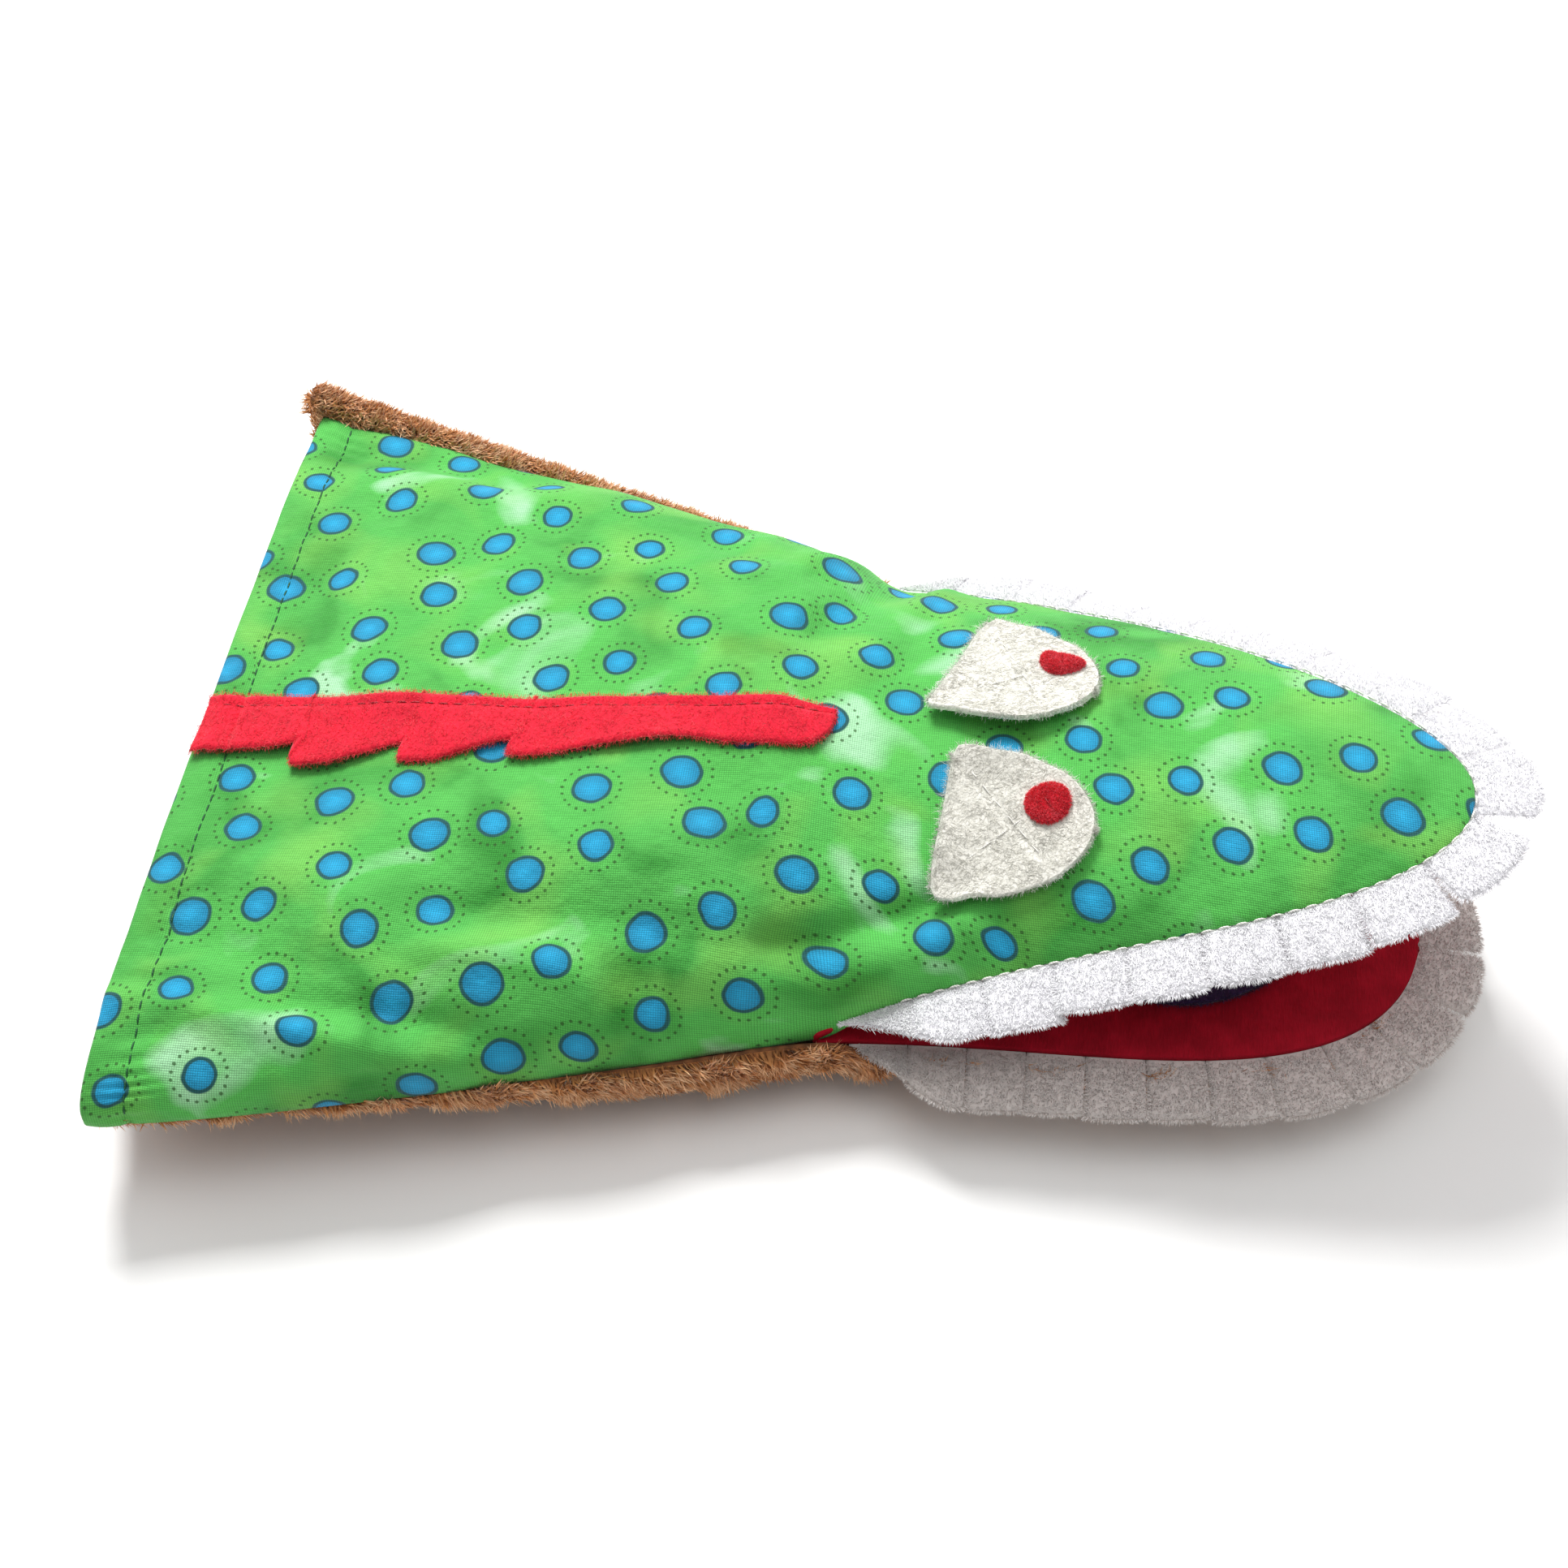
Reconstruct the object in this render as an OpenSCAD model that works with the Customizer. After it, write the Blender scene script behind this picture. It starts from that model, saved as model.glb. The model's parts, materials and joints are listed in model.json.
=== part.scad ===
// Hand puppet with a mouth that moves: a cloth sleeve, two hinged jaws, a felt tongue and a felt crest.
// It lies on its belly with its snout along +X. The origin is under the middle of its outline.

/* [Sleeve] */
// Length from the wrist edge to the fold of the mouth
sleeve_len = 126; // [110:1:151]
// Half of the width at the wrist
wrist_half_w = 91; // [80:1:100]
// Height of the right side seam at the wrist
wrist_seam_right = 23; // [18:1:25]
// Height of the left side seam at the wrist
wrist_seam_left = 28; // [20:1:29]
// Height of the back at the wrist
wrist_h = 34; // [33:1:40]
// Height of the back at the neck
neck_h = 45.5; // [42:0.5:52]
// Width of the hem that is turned in at the wrist
hem_w = 14; // [9:1:20]
// Distance from the wrist edge to the hem's row of stitches
hem_stitch_x = 7.5; // [4:0.5:8]
// How far the belly panel reaches past the back panel at the wrist
belly_over = 2.5; // [0:0.5:5]
// Width of the seam allowance inside each side seam
allowance_w = 7; // [4:1:10]

/* [Mouth] */
// Half of the width of the mouth at its corners
mouth_half_w = 56.5; // [50:0.5:62]
// Height of the mouth's fold above the table
hinge_z = 16; // [15:0.5:18]
// Length of the upper jaw from fold to snout seam
upper_len = 117; // [100:1:130]
// Length of the lower jaw from fold to chin seam
lower_len = 107; // [95:1:120]
// Half width that the upper jaw tapers towards
upper_nose_w = 25; // [18:1:32]
// Half width that the lower jaw tapers towards
lower_nose_w = 38; // [28:1:42]
// Bluntness of both snouts
nose_power = 4.9; // [3.5:0.1:6]
// How far the snout's tip is set off to one side
snout_sway = -22; // [-26:1:10]
// Angle of the upper jaw above level as it lies
upper_rest = 17.5; // [16:0.5:24]
// Height of the head over its seam at the neck
head_h = 21; // [16:1:24]
// Height of the head over its seam at the snout
snout_h = 5; // [4:0.5:8]

/* [Teeth] */
// How far the upper teeth stand out of the seam
upper_tooth_len = 12; // [8:0.5:14]
// How far the lower teeth stand out of the seam
lower_tooth_len = 12; // [8:0.5:14]
// Width of one upper tooth
upper_tooth_w = 13; // [9:0.5:18]
// Width of one lower tooth
lower_tooth_w = 10.5; // [8:0.5:18]
// Width of the slit between two teeth
slit_w = 0.6; // [0.4:0.1:1.5]

/* [Eyes] */
// Width of an eye across its straight base
eye_w = 30; // [20:1:32]
// Length of an eye from base to tip
eye_len = 28; // [20:1:30]
// Distance from the fold of the mouth to the middle of the eyes
eye_x = 39; // [34:1:44]
// Distance between the two eyes
eye_space = 5; // [4:0.5:14]
// How far both eyes are set to the left of the middle line, or to the right if negative
eye_shift = -5; // [-6:0.5:5]
// Angle by which both eyes are turned
eye_turn = -7; // [-20:1:20]
// Diameter of a pupil
pupil_d = 8; // [6:0.5:10]

/* [Crest] */
// Length of the crest
crest_len = 124; // [100:1:124]
// Width of the crest at its teeth
crest_w = 17; // [12:0.5:20]
// Width of the part that is sewn down
crest_margin_w = 3; // [2:0.5:4]
// Distance between the crest's teeth
crest_pitch = 21; // [16:1:24]
// Depth of the crest's teeth
crest_tooth_h = 5; // [3:0.5:6]

/* [Tongue] */
// Length of the tongue
tongue_len = 78; // [50:1:80]
// Width of the tongue
tongue_w = 41; // [30:1:46]
// Angle by which the tongue is turned
tongue_turn = -20; // [-22:1:10]

/* [Materials] */
// Thickness of the printed cotton with its lining
cloth_t = 0.8; // [0.6:0.1:1]
// Thickness of the fur fabric with its pile
fur_t = 4.5; // [3:0.5:5]
// Thickness of the felt
felt_t = 1.2; // [0.8:0.1:1.4]
// Thickness of the card stiffeners
board_t = 1.2; // [0.8:0.1:1.6]
// Thickness of the white pile strip that makes the teeth
tooth_t = 1.0; // [0.8:0.1:1.2]

/* [Hidden] */

gap = 0.3;                                    // between pieces of different bodies
lay = 0.1;                                    // between layers sewn onto each other
fold_r = 1.5;                                 // the rolled fold at the back of the mouth
lining_gap = 0.9;                             // from the hinge plane to each lining's face
lining_start = 3.2;                           // each lining's edge, in front of the hinge axis
layer_teeth = lining_gap + felt_t + lay;      // inner face of the teeth, from the hinge plane
rim_z = layer_teeth + tooth_t + lay;          // rim of the head and of the chin
tooth_seat = 2;                               // how far the tooth strip reaches inside the seam
tooth_start = 9;                              // first tooth, in front of the hinge axis
tip_taper = 0.04;                             // each tooth narrows by this share on both sides
tooth_ramp = 20;                              // length along which the strip widens to full teeth
board_inset = 4;                              // boards stay this far inside the seam
neck_back = 14;                               // sleeve panels end this far behind the hinge axis
head_start = 20;                              // head panel begins this far in front of it
chin_start = 18;                              // chin panel begins this far in front of it
rib_steps = 13;                               // rows along a panel
around = 22;                                  // columns across a panel
neck_steps = 6;                               // rows along a neck fold
fur_out = fur_t - 1;                          // how far fur stands out past the side seam
thread_r = 0.3;                               // sewing thread, and the size of its stitches
stitch_len = 3.2;
crest_lift = 0.9;                             // from the back to the crest's underside at the wrist
eye_y = (eye_w + eye_space) / 2;              // from the middle line to the middle of an eye
belly_flat = 1.35;                            // share by which the belly's arch is cut flat below
belly_power = 2.6;                            // squareness of the belly's and the chin's sections
wrist_power = 3.4;                            // squareness of the back's section at the wrist
neck_power = 2.3;                             // and at the neck
taper_bow = 1.1;                              // how late the sleeve narrows from wrist to mouth
seam_bow = 0.6;                               // how early the side seams come down
sway_bow = 1.4;                               // how late the snout turns aside
dome_fall = 1.2;                              // how the head's height falls towards the snout
dome_round = 0.75;                            // roundness of the head's section
chin_d = hinge_z - rim_z;                     // depth of the chin under its rim
outline_steps = 48;                           // points along a jaw's outline
tooth_root = 1.2;                             // uncut width of the tooth strip outside the seam
crest_first = crest_pitch + 2;                // first notch of the crest, from the wrist end
teeth_end = crest_first + 2 * crest_pitch;    // where the crest's long blade begins
eye_lift = 0.4;                               // from the head to the middle of an eye's underside
pupil_x = eye_len * 0.18;                     // middle of a pupil, from the middle of its eye
pupil_y = 4.6;
pupil_t = felt_t + 0.6;                       // height of a pupil
tongue_start = 13;                            // tongue's root, in front of the hinge axis
tip_steps = 32;                               // points round the tongue's tip
crest_slope = atan((neck_h - wrist_h) / sleeve_len);
origin_x = (sleeve_len + (upper_len + upper_tooth_len) * cos(upper_rest) - belly_over) / 2;

function mix(a, b, t) = a + (b - a) * t;
function ease(t) = t * t * (3 - 2 * t);
function spow(v, n) = sign(v) * pow(abs(v), n);
function sway(t) = snout_sway * pow(t, sway_bow);   // middle line of both jaws, t from 0 to 1
function across(k) = 1 - 2 * k / around;      // column number to -1..1, left side first

// Sleeve sections: half width, seam height and back height at distance x from the wrist
function sleeve_w(x) = mix(wrist_half_w, mouth_half_w, pow(max(x, 0) / sleeve_len, taper_bow));
function seam_z(x, s) =
  mix(mix((wrist_seam_left + wrist_seam_right) / 2, hinge_z, pow(max(x, 0) / sleeve_len, seam_bow)),
      mix(s > 0 ? wrist_seam_left : wrist_seam_right, hinge_z, pow(max(x, 0) / sleeve_len, seam_bow)),
      abs(s));
function back_z(x) = mix(wrist_h, neck_h, max(x, 0) / sleeve_len);
function back_power(x) = mix(wrist_power, neck_power, max(x, 0) / sleeve_len);

// A point of the sleeve's back: angle a goes from 0 at the left seam to 180 at the right seam
function back_point(x, a, inset) =
  let (n = back_power(x), c = spow(cos(a), 2 / n))
  [x, (sleeve_w(x) - inset) * c,
   seam_z(x, c) + lay / 2 + (back_z(x) - inset - seam_z(x, c)) * pow(abs(sin(a)), 2 / n)];

// A point of the belly: angle a goes from 180 at the right seam to 360 at the left seam
function belly_point(x, a, inset) =
  let (c = spow(cos(a), 2 / belly_power), top = seam_z(x, c) - gap)
  [x, (sleeve_w(x) + fur_out - inset) * c,
   top - (top - inset) * min(1, belly_flat * pow(abs(sin(a)), 2 / belly_power))];

// Jaw outline: a taper closed by a blunt nose, with t from 0 at the fold to 1 at the tip
function jaw_w(t, nose_w) = mix(mouth_half_w, nose_w, t) * sqrt(max(0, 1 - pow(t, nose_power)));
function jaw_outline(len, nose_w, start, n) = [
  for (k = [0:n])
    let (a = 90 - 180 * k / n, t = pow(cos(a), 2 / nose_power), x = max(start / len, t))
    [len * x, jaw_w(x, nose_w) * sign(a) + sway(x)]
];
function outline_normal(p, k) =
  let (a = p[max(0, k - 1)], b = p[min(len(p) - 1, k + 1)], d = (b - a) / norm(b - a))
  [-d[1], d[0]];
function offset_path(p, d) = [for (k = [0:len(p) - 1]) p[k] + d * outline_normal(p, k)];
function reversed(p) = [for (k = [len(p) - 1:-1:0]) p[k]];

// Rows of a jaw's dome lie closer together towards the nose, where it closes
function row_t(k, start) = mix(start, 0.998, 1 - pow(1 - k / rib_steps, 2));
function dome_h(t) = (snout_h + (head_h - snout_h) * pow(1 - t, dome_fall)) * sqrt(1 - pow(t, nose_power));
function head_point(t, s, inset) =
  let (shrink = sqrt(max(0, 1 - pow(t, nose_power))))
  [(upper_len - inset) * t,
   (mix(mouth_half_w, upper_nose_w, t) - inset) * shrink * s + sway(t),
   rim_z + max(0.02, dome_h(t) - inset * min(1, 2 * shrink)) * pow(1 - s * s, dome_round)];
function chin_point(t, a, inset) =
  let (shrink = sqrt(max(0, 1 - pow(t, nose_power))), c = spow(cos(a), 2 / belly_power),
       out = (fur_out * min(1, 3 * shrink) - inset) * shrink)
  [(lower_len - inset) * t,
   (mix(mouth_half_w, lower_nose_w, t) * shrink + out) * c + sway(t),
   -rim_z - max(0.02, (chin_d - inset) * pow(shrink, 0.6))
     * min(1, belly_flat * pow(abs(sin(a)), 2 / belly_power))];

// Turns a point of a jaw into the puppet's frame, for the parts that join both
function pitched(p, a) = [sleeve_len + p[0] * cos(a) - p[2] * sin(a), p[1],
                          hinge_z + p[0] * sin(a) + p[2] * cos(a)];

// Closed solid between two grids of points of the same size, the first one outside
module skin(outer, inner) {
  rows = len(outer);
  cols = len(outer[0]);
  n = rows * cols;
  function id(i, j) = i * cols + j;
  faces = concat(
    [for (i = [0:rows - 2], j = [0:cols - 2]) each [
      [id(i, j), id(i + 1, j), id(i, j + 1)],
      [id(i + 1, j), id(i + 1, j + 1), id(i, j + 1)],
      [n + id(i, j), n + id(i, j + 1), n + id(i + 1, j)],
      [n + id(i + 1, j), n + id(i, j + 1), n + id(i + 1, j + 1)]]],
    [for (j = [0:cols - 2]) each [
      [id(0, j), id(0, j + 1), n + id(0, j)],
      [id(0, j + 1), n + id(0, j + 1), n + id(0, j)],
      [id(rows - 1, j), n + id(rows - 1, j), id(rows - 1, j + 1)],
      [id(rows - 1, j + 1), n + id(rows - 1, j), n + id(rows - 1, j + 1)]]],
    [for (i = [0:rows - 2]) each [
      [id(i, 0), n + id(i, 0), id(i + 1, 0)],
      [id(i + 1, 0), n + id(i, 0), n + id(i + 1, 0)],
      [id(i, cols - 1), id(i + 1, cols - 1), n + id(i, cols - 1)],
      [id(i + 1, cols - 1), n + id(i + 1, cols - 1), n + id(i, cols - 1)]]]);
  polyhedron(points = concat([for (r = outer) each r], [for (r = inner) each r]), faces = faces);
}

// Places of the three frames: the table, the upper jaw and the lower jaw
module on_table() {
  translate([-origin_x, 0, 0]) children();
}
module in_upper_jaw() {
  on_table() translate([sleeve_len, 0, hinge_z]) rotate([0, -upper_rest, 0]) children();
}
module in_lower_jaw() {
  on_table() translate([sleeve_len, 0, hinge_z]) children();
}

// Flat strip between two paths of points
module band(p, q, t) {
  linear_extrude(height = t) polygon(concat(p, reversed(q)));
}
// One stitch of thread from p to q
module stitch(p, q) {
  d = q - p;
  translate(p) rotate([0, acos(d[2] / norm(d)), atan2(d[1], d[0])])
    cylinder(r = thread_r, h = norm(d), $fn = 16);
}

module back_skin(x0, x1, inset, t) {
  rows = [for (k = [0:rib_steps]) mix(x0, x1, k / rib_steps)];
  skin([for (x = rows) [for (k = [0:around]) back_point(x, 180 * k / around, inset)]],
       [for (x = rows) [for (k = [0:around]) back_point(x, 180 * k / around, inset + t)]]);
}
module belly_skin(x0, x1, inset, t) {
  rows = [for (k = [0:rib_steps]) mix(x0, x1, k / rib_steps)];
  skin([for (x = rows) [for (k = [0:around]) belly_point(x, 180 + 180 * k / around, inset)]],
       [for (x = rows) [for (k = [0:around]) belly_point(x, 180 + 180 * k / around, inset + t)]]);
}

module back_panel() {
  color("limegreen") on_table() back_skin(0, sleeve_len - neck_back, 0, cloth_t);
}
module back_hem() {
  color("seagreen") on_table() back_skin(0.5, hem_w, cloth_t + lay, cloth_t);
}
module back_hem_stitches() {
  n = floor(2.5 * wrist_half_w / (2 * stitch_len));
  color("darkgreen") on_table() for (k = [1:n - 1]) {
    a = 180 * k / n;
    half = 180 * 0.28 / n;
    stitch(back_point(hem_stitch_x, a - half, -thread_r - 0.15),
           back_point(hem_stitch_x, a + half, -thread_r - 0.15));
  }
}
module belly_panel() {
  color("peru") on_table() belly_skin(-belly_over, sleeve_len - neck_back, 0, fur_t);
}
module belly_hem() {
  color("sienna") on_table() belly_skin(-belly_over + 0.5, hem_w, fur_t + 4 * lay, cloth_t);
}
module belly_hem_stitches() {
  n = floor(wrist_half_w / stitch_len);
  z = fur_t + 5 * lay + cloth_t + thread_r;
  color("saddlebrown") on_table() for (k = [-floor(n / 2):floor(n / 2)]) {
    y = 1.4 * stitch_len * k;
    stitch([hem_stitch_x, y - stitch_len / 2, z], [hem_stitch_x, y + stitch_len / 2, z]);
  }
}

// Seam allowance: the two cloth edges, turned inwards along a side seam
module side_seam(s) {
  x0 = hem_w + 1;
  x1 = sleeve_len - neck_back - 1;
  function edge(x, into, up) =
    [x, s * (sleeve_w(x) - 2 * cloth_t - gap - into), seam_z(x, s) - lay + up];
  rows = [for (k = [0:rib_steps]) mix(x0, x1, k / rib_steps)];
  a = s > 0 ? 0 : allowance_w;
  b = s > 0 ? allowance_w : 0;
  half = 0.7;
  skin([for (x = rows) [edge(x, a, half), edge(x, b, half)]],
       [for (x = rows) [edge(x, a, -half), edge(x, b, -half)]]);
}
module side_seam_left() {
  color("olive") on_table() side_seam(1);
}
module side_seam_right() {
  color("olive") on_table() side_seam(-1);
}

// The lining's fold is a soft roll on the axis that both jaws turn about
module mouth_fold() {
  color("firebrick") on_table() translate([sleeve_len, mouth_half_w + 1, hinge_z])
    rotate([90, 0, 0]) cylinder(r = fold_r, h = 2 * mouth_half_w + 2, $fn = 32);
}

// Soft cloth between the sleeve and a jaw: a blend of both surfaces across the hinge.
// Its rims part early, by rim_part, to pass over and under the teeth.
function neck_v(k) = mix(0.02, 0.98, k / neck_steps);
function rim_part(v) = rim_z * (min(1, v / 0.5) - v);
function neck_top_point(v, k, inset) =
  let (a = 180 * k / around, s = spow(cos(a), 1.15),
       p = back_point(sleeve_len - neck_back * (1 - v), a, inset),
       q = pitched(head_point(head_start * v / upper_len, s, inset), upper_rest))
  mix(p, q, v) + [0, 0, rim_part(v) * (1 - sin(a))];
function neck_bottom_point(v, k, inset) =
  let (a = 180 + 180 * k / around,
       p = belly_point(sleeve_len - neck_back * (1 - v), a, inset),
       q = pitched(chin_point(chin_start * v / lower_len, a, inset), 0),
       m = mix(p, q, v))
  [m[0], m[1], m[2] * (1 - rim_part(v) / hinge_z)];
module neck_fold_top() {
  color("limegreen") on_table() skin(
    [for (i = [0:neck_steps]) [for (k = [0:around]) neck_top_point(neck_v(i), k, 0)]],
    [for (i = [0:neck_steps]) [for (k = [0:around]) neck_top_point(neck_v(i), k, cloth_t)]]);
}
module neck_fold_bottom() {
  color("peru") on_table() skin(
    [for (i = [0:neck_steps]) [for (k = [0:around]) neck_bottom_point(neck_v(i), k, 0)]],
    [for (i = [0:neck_steps]) [for (k = [0:around]) neck_bottom_point(neck_v(i), k, fur_t)]]);
}

// Crest: its own plane starts at the wrist edge on the back and climbs to the neck
module in_crest() {
  on_table() translate([0, 0, wrist_h + crest_lift]) rotate([0, -crest_slope, 0]) children();
}
module crest_flap() {
  notch = crest_w - crest_tooth_h;
  teeth = [for (k = [1:3])
           let (x = crest_first + (k - 1) * crest_pitch, tip = -crest_w + 1.2 * (k - 1)) each
           [[x, -notch + 0.8 * (k - 1)], [x - 2, tip], [x + 1.5, tip - 0.3], [x + 5, tip + 0.2]]];
  blade = [for (k = [0:8]) let (f = k / 8)
           [mix(teeth_end + 14, crest_len - 9, f), -mix(notch - 1, notch - 2.5, f) + 1.8 * sin(180 * f)]];
  nose = [for (k = [1:7]) let (f = 90 * k / 7)
          [crest_len - 9 + 9 * sin(f), -crest_margin_w - lay - (notch - 2.5 - crest_margin_w) * cos(f)]];
  color("crimson") in_crest() linear_extrude(height = felt_t)
    polygon(concat([[0.5, -crest_margin_w - lay], [0.5, 2 - crest_w]], teeth, blade, nose));
}
module crest_margin() {
  color("crimson") in_crest() translate([0.5, -crest_margin_w + lay, 0])
    cube([crest_len - 1, crest_margin_w - lay, felt_t]);
}
module crest_stitches() {
  n = floor((crest_len - 8) / stitch_len / 1.4);
  z = felt_t + thread_r + lay / 2;
  y = -crest_margin_w + 0.5;
  color("darkred") in_crest() for (k = [0:n]) {
    x = 4 + 1.4 * stitch_len * k;
    if (x + stitch_len < crest_len - 1) stitch([x, y, z], [x + stitch_len, y, z]);
  }
}

module head_panel() {
  rows = [for (k = [0:rib_steps]) row_t(k, head_start / upper_len)];
  color("limegreen") in_upper_jaw() skin(
    [for (t = rows) [for (k = [0:around]) head_point(t, sin(90 * across(k)), 0)]],
    [for (t = rows) [for (k = [0:around]) head_point(t, sin(90 * across(k)), cloth_t)]]);
}
module chin_panel() {
  rows = [for (k = [0:rib_steps]) row_t(k, chin_start / lower_len)];
  color("peru") in_lower_jaw() skin(
    [for (t = rows) [for (k = [0:around]) chin_point(t, 180 + 180 * k / around, 0)]],
    [for (t = rows) [for (k = [0:around]) chin_point(t, 180 + 180 * k / around, fur_t - 0.5)]]);
}

upper_path = jaw_outline(upper_len, upper_nose_w, lining_start, outline_steps);
lower_path = jaw_outline(lower_len, lower_nose_w, lining_start, outline_steps);

module palate_lining() {
  color("crimson") in_upper_jaw() translate([0, 0, lining_gap])
    linear_extrude(height = felt_t) polygon(upper_path);
}
module floor_lining() {
  color("crimson") in_lower_jaw() translate([0, 0, -lining_gap - felt_t])
    linear_extrude(height = felt_t) polygon(lower_path);
}
module board(path, len) {
  inner = offset_path(path, -board_inset);
  linear_extrude(height = board_t) intersection() {
    polygon(inner);
    translate([lining_start + 3, -mouth_half_w]) square([len, 2 * mouth_half_w]);
  }
}
module upper_board() {
  color("wheat") in_upper_jaw() translate([0, 0, lining_gap + felt_t + lay]) board(upper_path, upper_len);
}
module lower_board() {
  color("wheat") in_lower_jaw() translate([0, 0, -lining_gap - felt_t - lay - board_t])
    board(lower_path, lower_len);
}

// Tooth strip: a band along the seam with a comb of teeth, laid out by length along the outline
function path_lengths(p) = [
  for (i = 0, s = 0; i < len(p); s = s + (i + 1 < len(p) ? norm(p[i + 1] - p[i]) : 0), i = i + 1) s
];
function at_length(p, lengths, s) = [
  lookup(s, [for (k = [0:len(p) - 1]) [lengths[k], p[k][0]]]),
  lookup(s, [for (k = [0:len(p) - 1]) [lengths[k], p[k][1]]])
];
module tooth_strip(path, tooth_len, tooth_w) {
  lengths = path_lengths(path);
  total = lengths[len(lengths) - 1];
  first = tooth_start - lining_start;
  n = floor((total - 2 * first) / tooth_w);
  w = (total - 2 * first) / n;
  function out(s) = tooth_len * ease(min(1, min(s, total - s) / tooth_ramp));
  function normal_at(s) =
    let (d = at_length(path, lengths, s + 1) - at_length(path, lengths, s - 1)) [-d[1], d[0]] / norm(d);
  comb = [for (k = [0:n - 1])
    let (s0 = first + k * w + slit_w / 2, s1 = first + (k + 1) * w - slit_w / 2,
         m = normal_at((s0 + s1) / 2), a = at_length(path, lengths, s0), b = at_length(path, lengths, s1),
         h = out((s0 + s1) / 2))
    each [a + tooth_root * normal_at(s0), mix(a, b, tip_taper) + (h + tooth_root) * m,
          mix(b, a, tip_taper) + (h + tooth_root) * m, b + tooth_root * normal_at(s1)]];
  seat = [for (k = [0:2 * n])
    let (s = first + k * w / 2) at_length(path, lengths, s) - tooth_seat * normal_at(s)];
  linear_extrude(height = tooth_t) polygon(concat(comb, reversed(seat)));
}
module upper_teeth() {
  color("white") in_upper_jaw() translate([0, 0, layer_teeth])
    tooth_strip(upper_path, upper_tooth_len - tooth_root, upper_tooth_w);
}
module lower_teeth() {
  color("white") in_lower_jaw() translate([0, 0, -layer_teeth - tooth_t])
    tooth_strip(lower_path, lower_tooth_len - tooth_root, lower_tooth_w);
}

// Seam thread: a thin band that lies on the tooth strip along the panel's edge
module seam_thread(len, nose_w) {
  path = jaw_outline(len, nose_w, head_start, outline_steps);
  band(offset_path(path, 0.45), offset_path(path, 1.05), 0.5);
}
module upper_mouth_seam() {
  color("honeydew") in_upper_jaw() translate([0, 0, layer_teeth + tooth_t + lay])
    seam_thread(upper_len, upper_nose_w);
}
module lower_mouth_seam() {
  color("honeydew") in_lower_jaw() translate([0, 0, -layer_teeth + lay]) seam_thread(lower_len, lower_nose_w);
}

// Eyes: flat felt patches laid on the head, each in the plane that touches the dome under its middle
module on_eye(side, lift) {
  t = eye_x / upper_len;
  s = (side * eye_y + eye_shift) / jaw_w(t, upper_nose_w);
  p = head_point(t, s, 0);
  u = head_point(t + 0.01, s, 0) - head_point(t - 0.01, s, 0);
  v = head_point(t, s + 0.01, 0) - head_point(t, s - 0.01, 0);
  n = cross(u, v) / norm(cross(u, v));
  along = (u - n * (u * n)) / norm(u - n * (u * n));
  ex = along * cos(eye_turn) + cross(n, along) * sin(eye_turn);
  ey = cross(n, ex);
  o = p + n * lift;
  in_upper_jaw()
    multmatrix([[ex[0], ey[0], n[0], o[0]], [ex[1], ey[1], n[1], o[1]], [ex[2], ey[2], n[2], o[2]]])
    children();
}
function eye_half(q) = eye_w / 2 * sqrt(1 - pow(q, 2.6)) * pow(min(1, q / 0.06 + 0.75), 0.5);
module eye_outline() {
  n = 12;
  function side(k) = let (q = sin(90 * k / n)) [eye_len * (q - 0.5), eye_half(q)];
  polygon(concat([for (k = [0:n]) side(k)], [for (k = [n - 1:-1:0]) [side(k)[0], -side(k)[1]]]));
}
module eye(s) {
  color("whitesmoke") on_eye(s, eye_lift)
    linear_extrude(height = felt_t) eye_outline();
}
module eye_left() {
  eye(1);
}
module eye_right() {
  eye(-1);
}
// Two crossing rows of stitches from corner to corner of an eye
module eye_cross(s) {
  z = eye_lift + felt_t + thread_r / 2 + 0.05;
  color("ivory") on_eye(s, z)
    for (k = [0:4]) for (side = [-1, 1]) {
      f = k / 4;
      x = mix(-eye_len * 0.41, eye_len * 0.15, f);
      y = side * mix(-eye_w * 0.36, eye_w * 0.36, f);
      dx = eye_len * 0.045;
      dy = side * eye_w * 0.058;
      if (norm([x, y] - [pupil_x, pupil_y]) > pupil_d / 2 + 2.5 && abs(f - 0.5) > 0.05)
        translate([x - dx, y - dy, 0]) rotate([0, 90, atan2(dy, dx)])
          cylinder(r = thread_r / 2, h = 2 * norm([dx, dy]), $fn = 16);
    }
}
module eye_stitches_left() {
  eye_cross(1);
}
module eye_stitches_right() {
  eye_cross(-1);
}
module pupil(s) {
  color("red") on_eye(s, eye_lift + felt_t + lay)
    translate([pupil_x, pupil_y, 0]) cylinder(d = pupil_d, h = pupil_t, $fn = 32);
}
module pupil_left() {
  pupil(1);
}
module pupil_right() {
  pupil(-1);
}
module pupil_stitch(s) {
  z = eye_lift + felt_t + lay + pupil_t + thread_r / 2 + 0.05;
  color("darkred") on_eye(s, z) translate([pupil_x, pupil_y, 0])
    rotate([90, 0, 130]) translate([0, 0, -pupil_d * 0.3])
    cylinder(r = thread_r / 2, h = pupil_d * 0.6, $fn = 16);
}
module pupil_stitch_left() {
  pupil_stitch(1);
}
module pupil_stitch_right() {
  pupil_stitch(-1);
}

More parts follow.
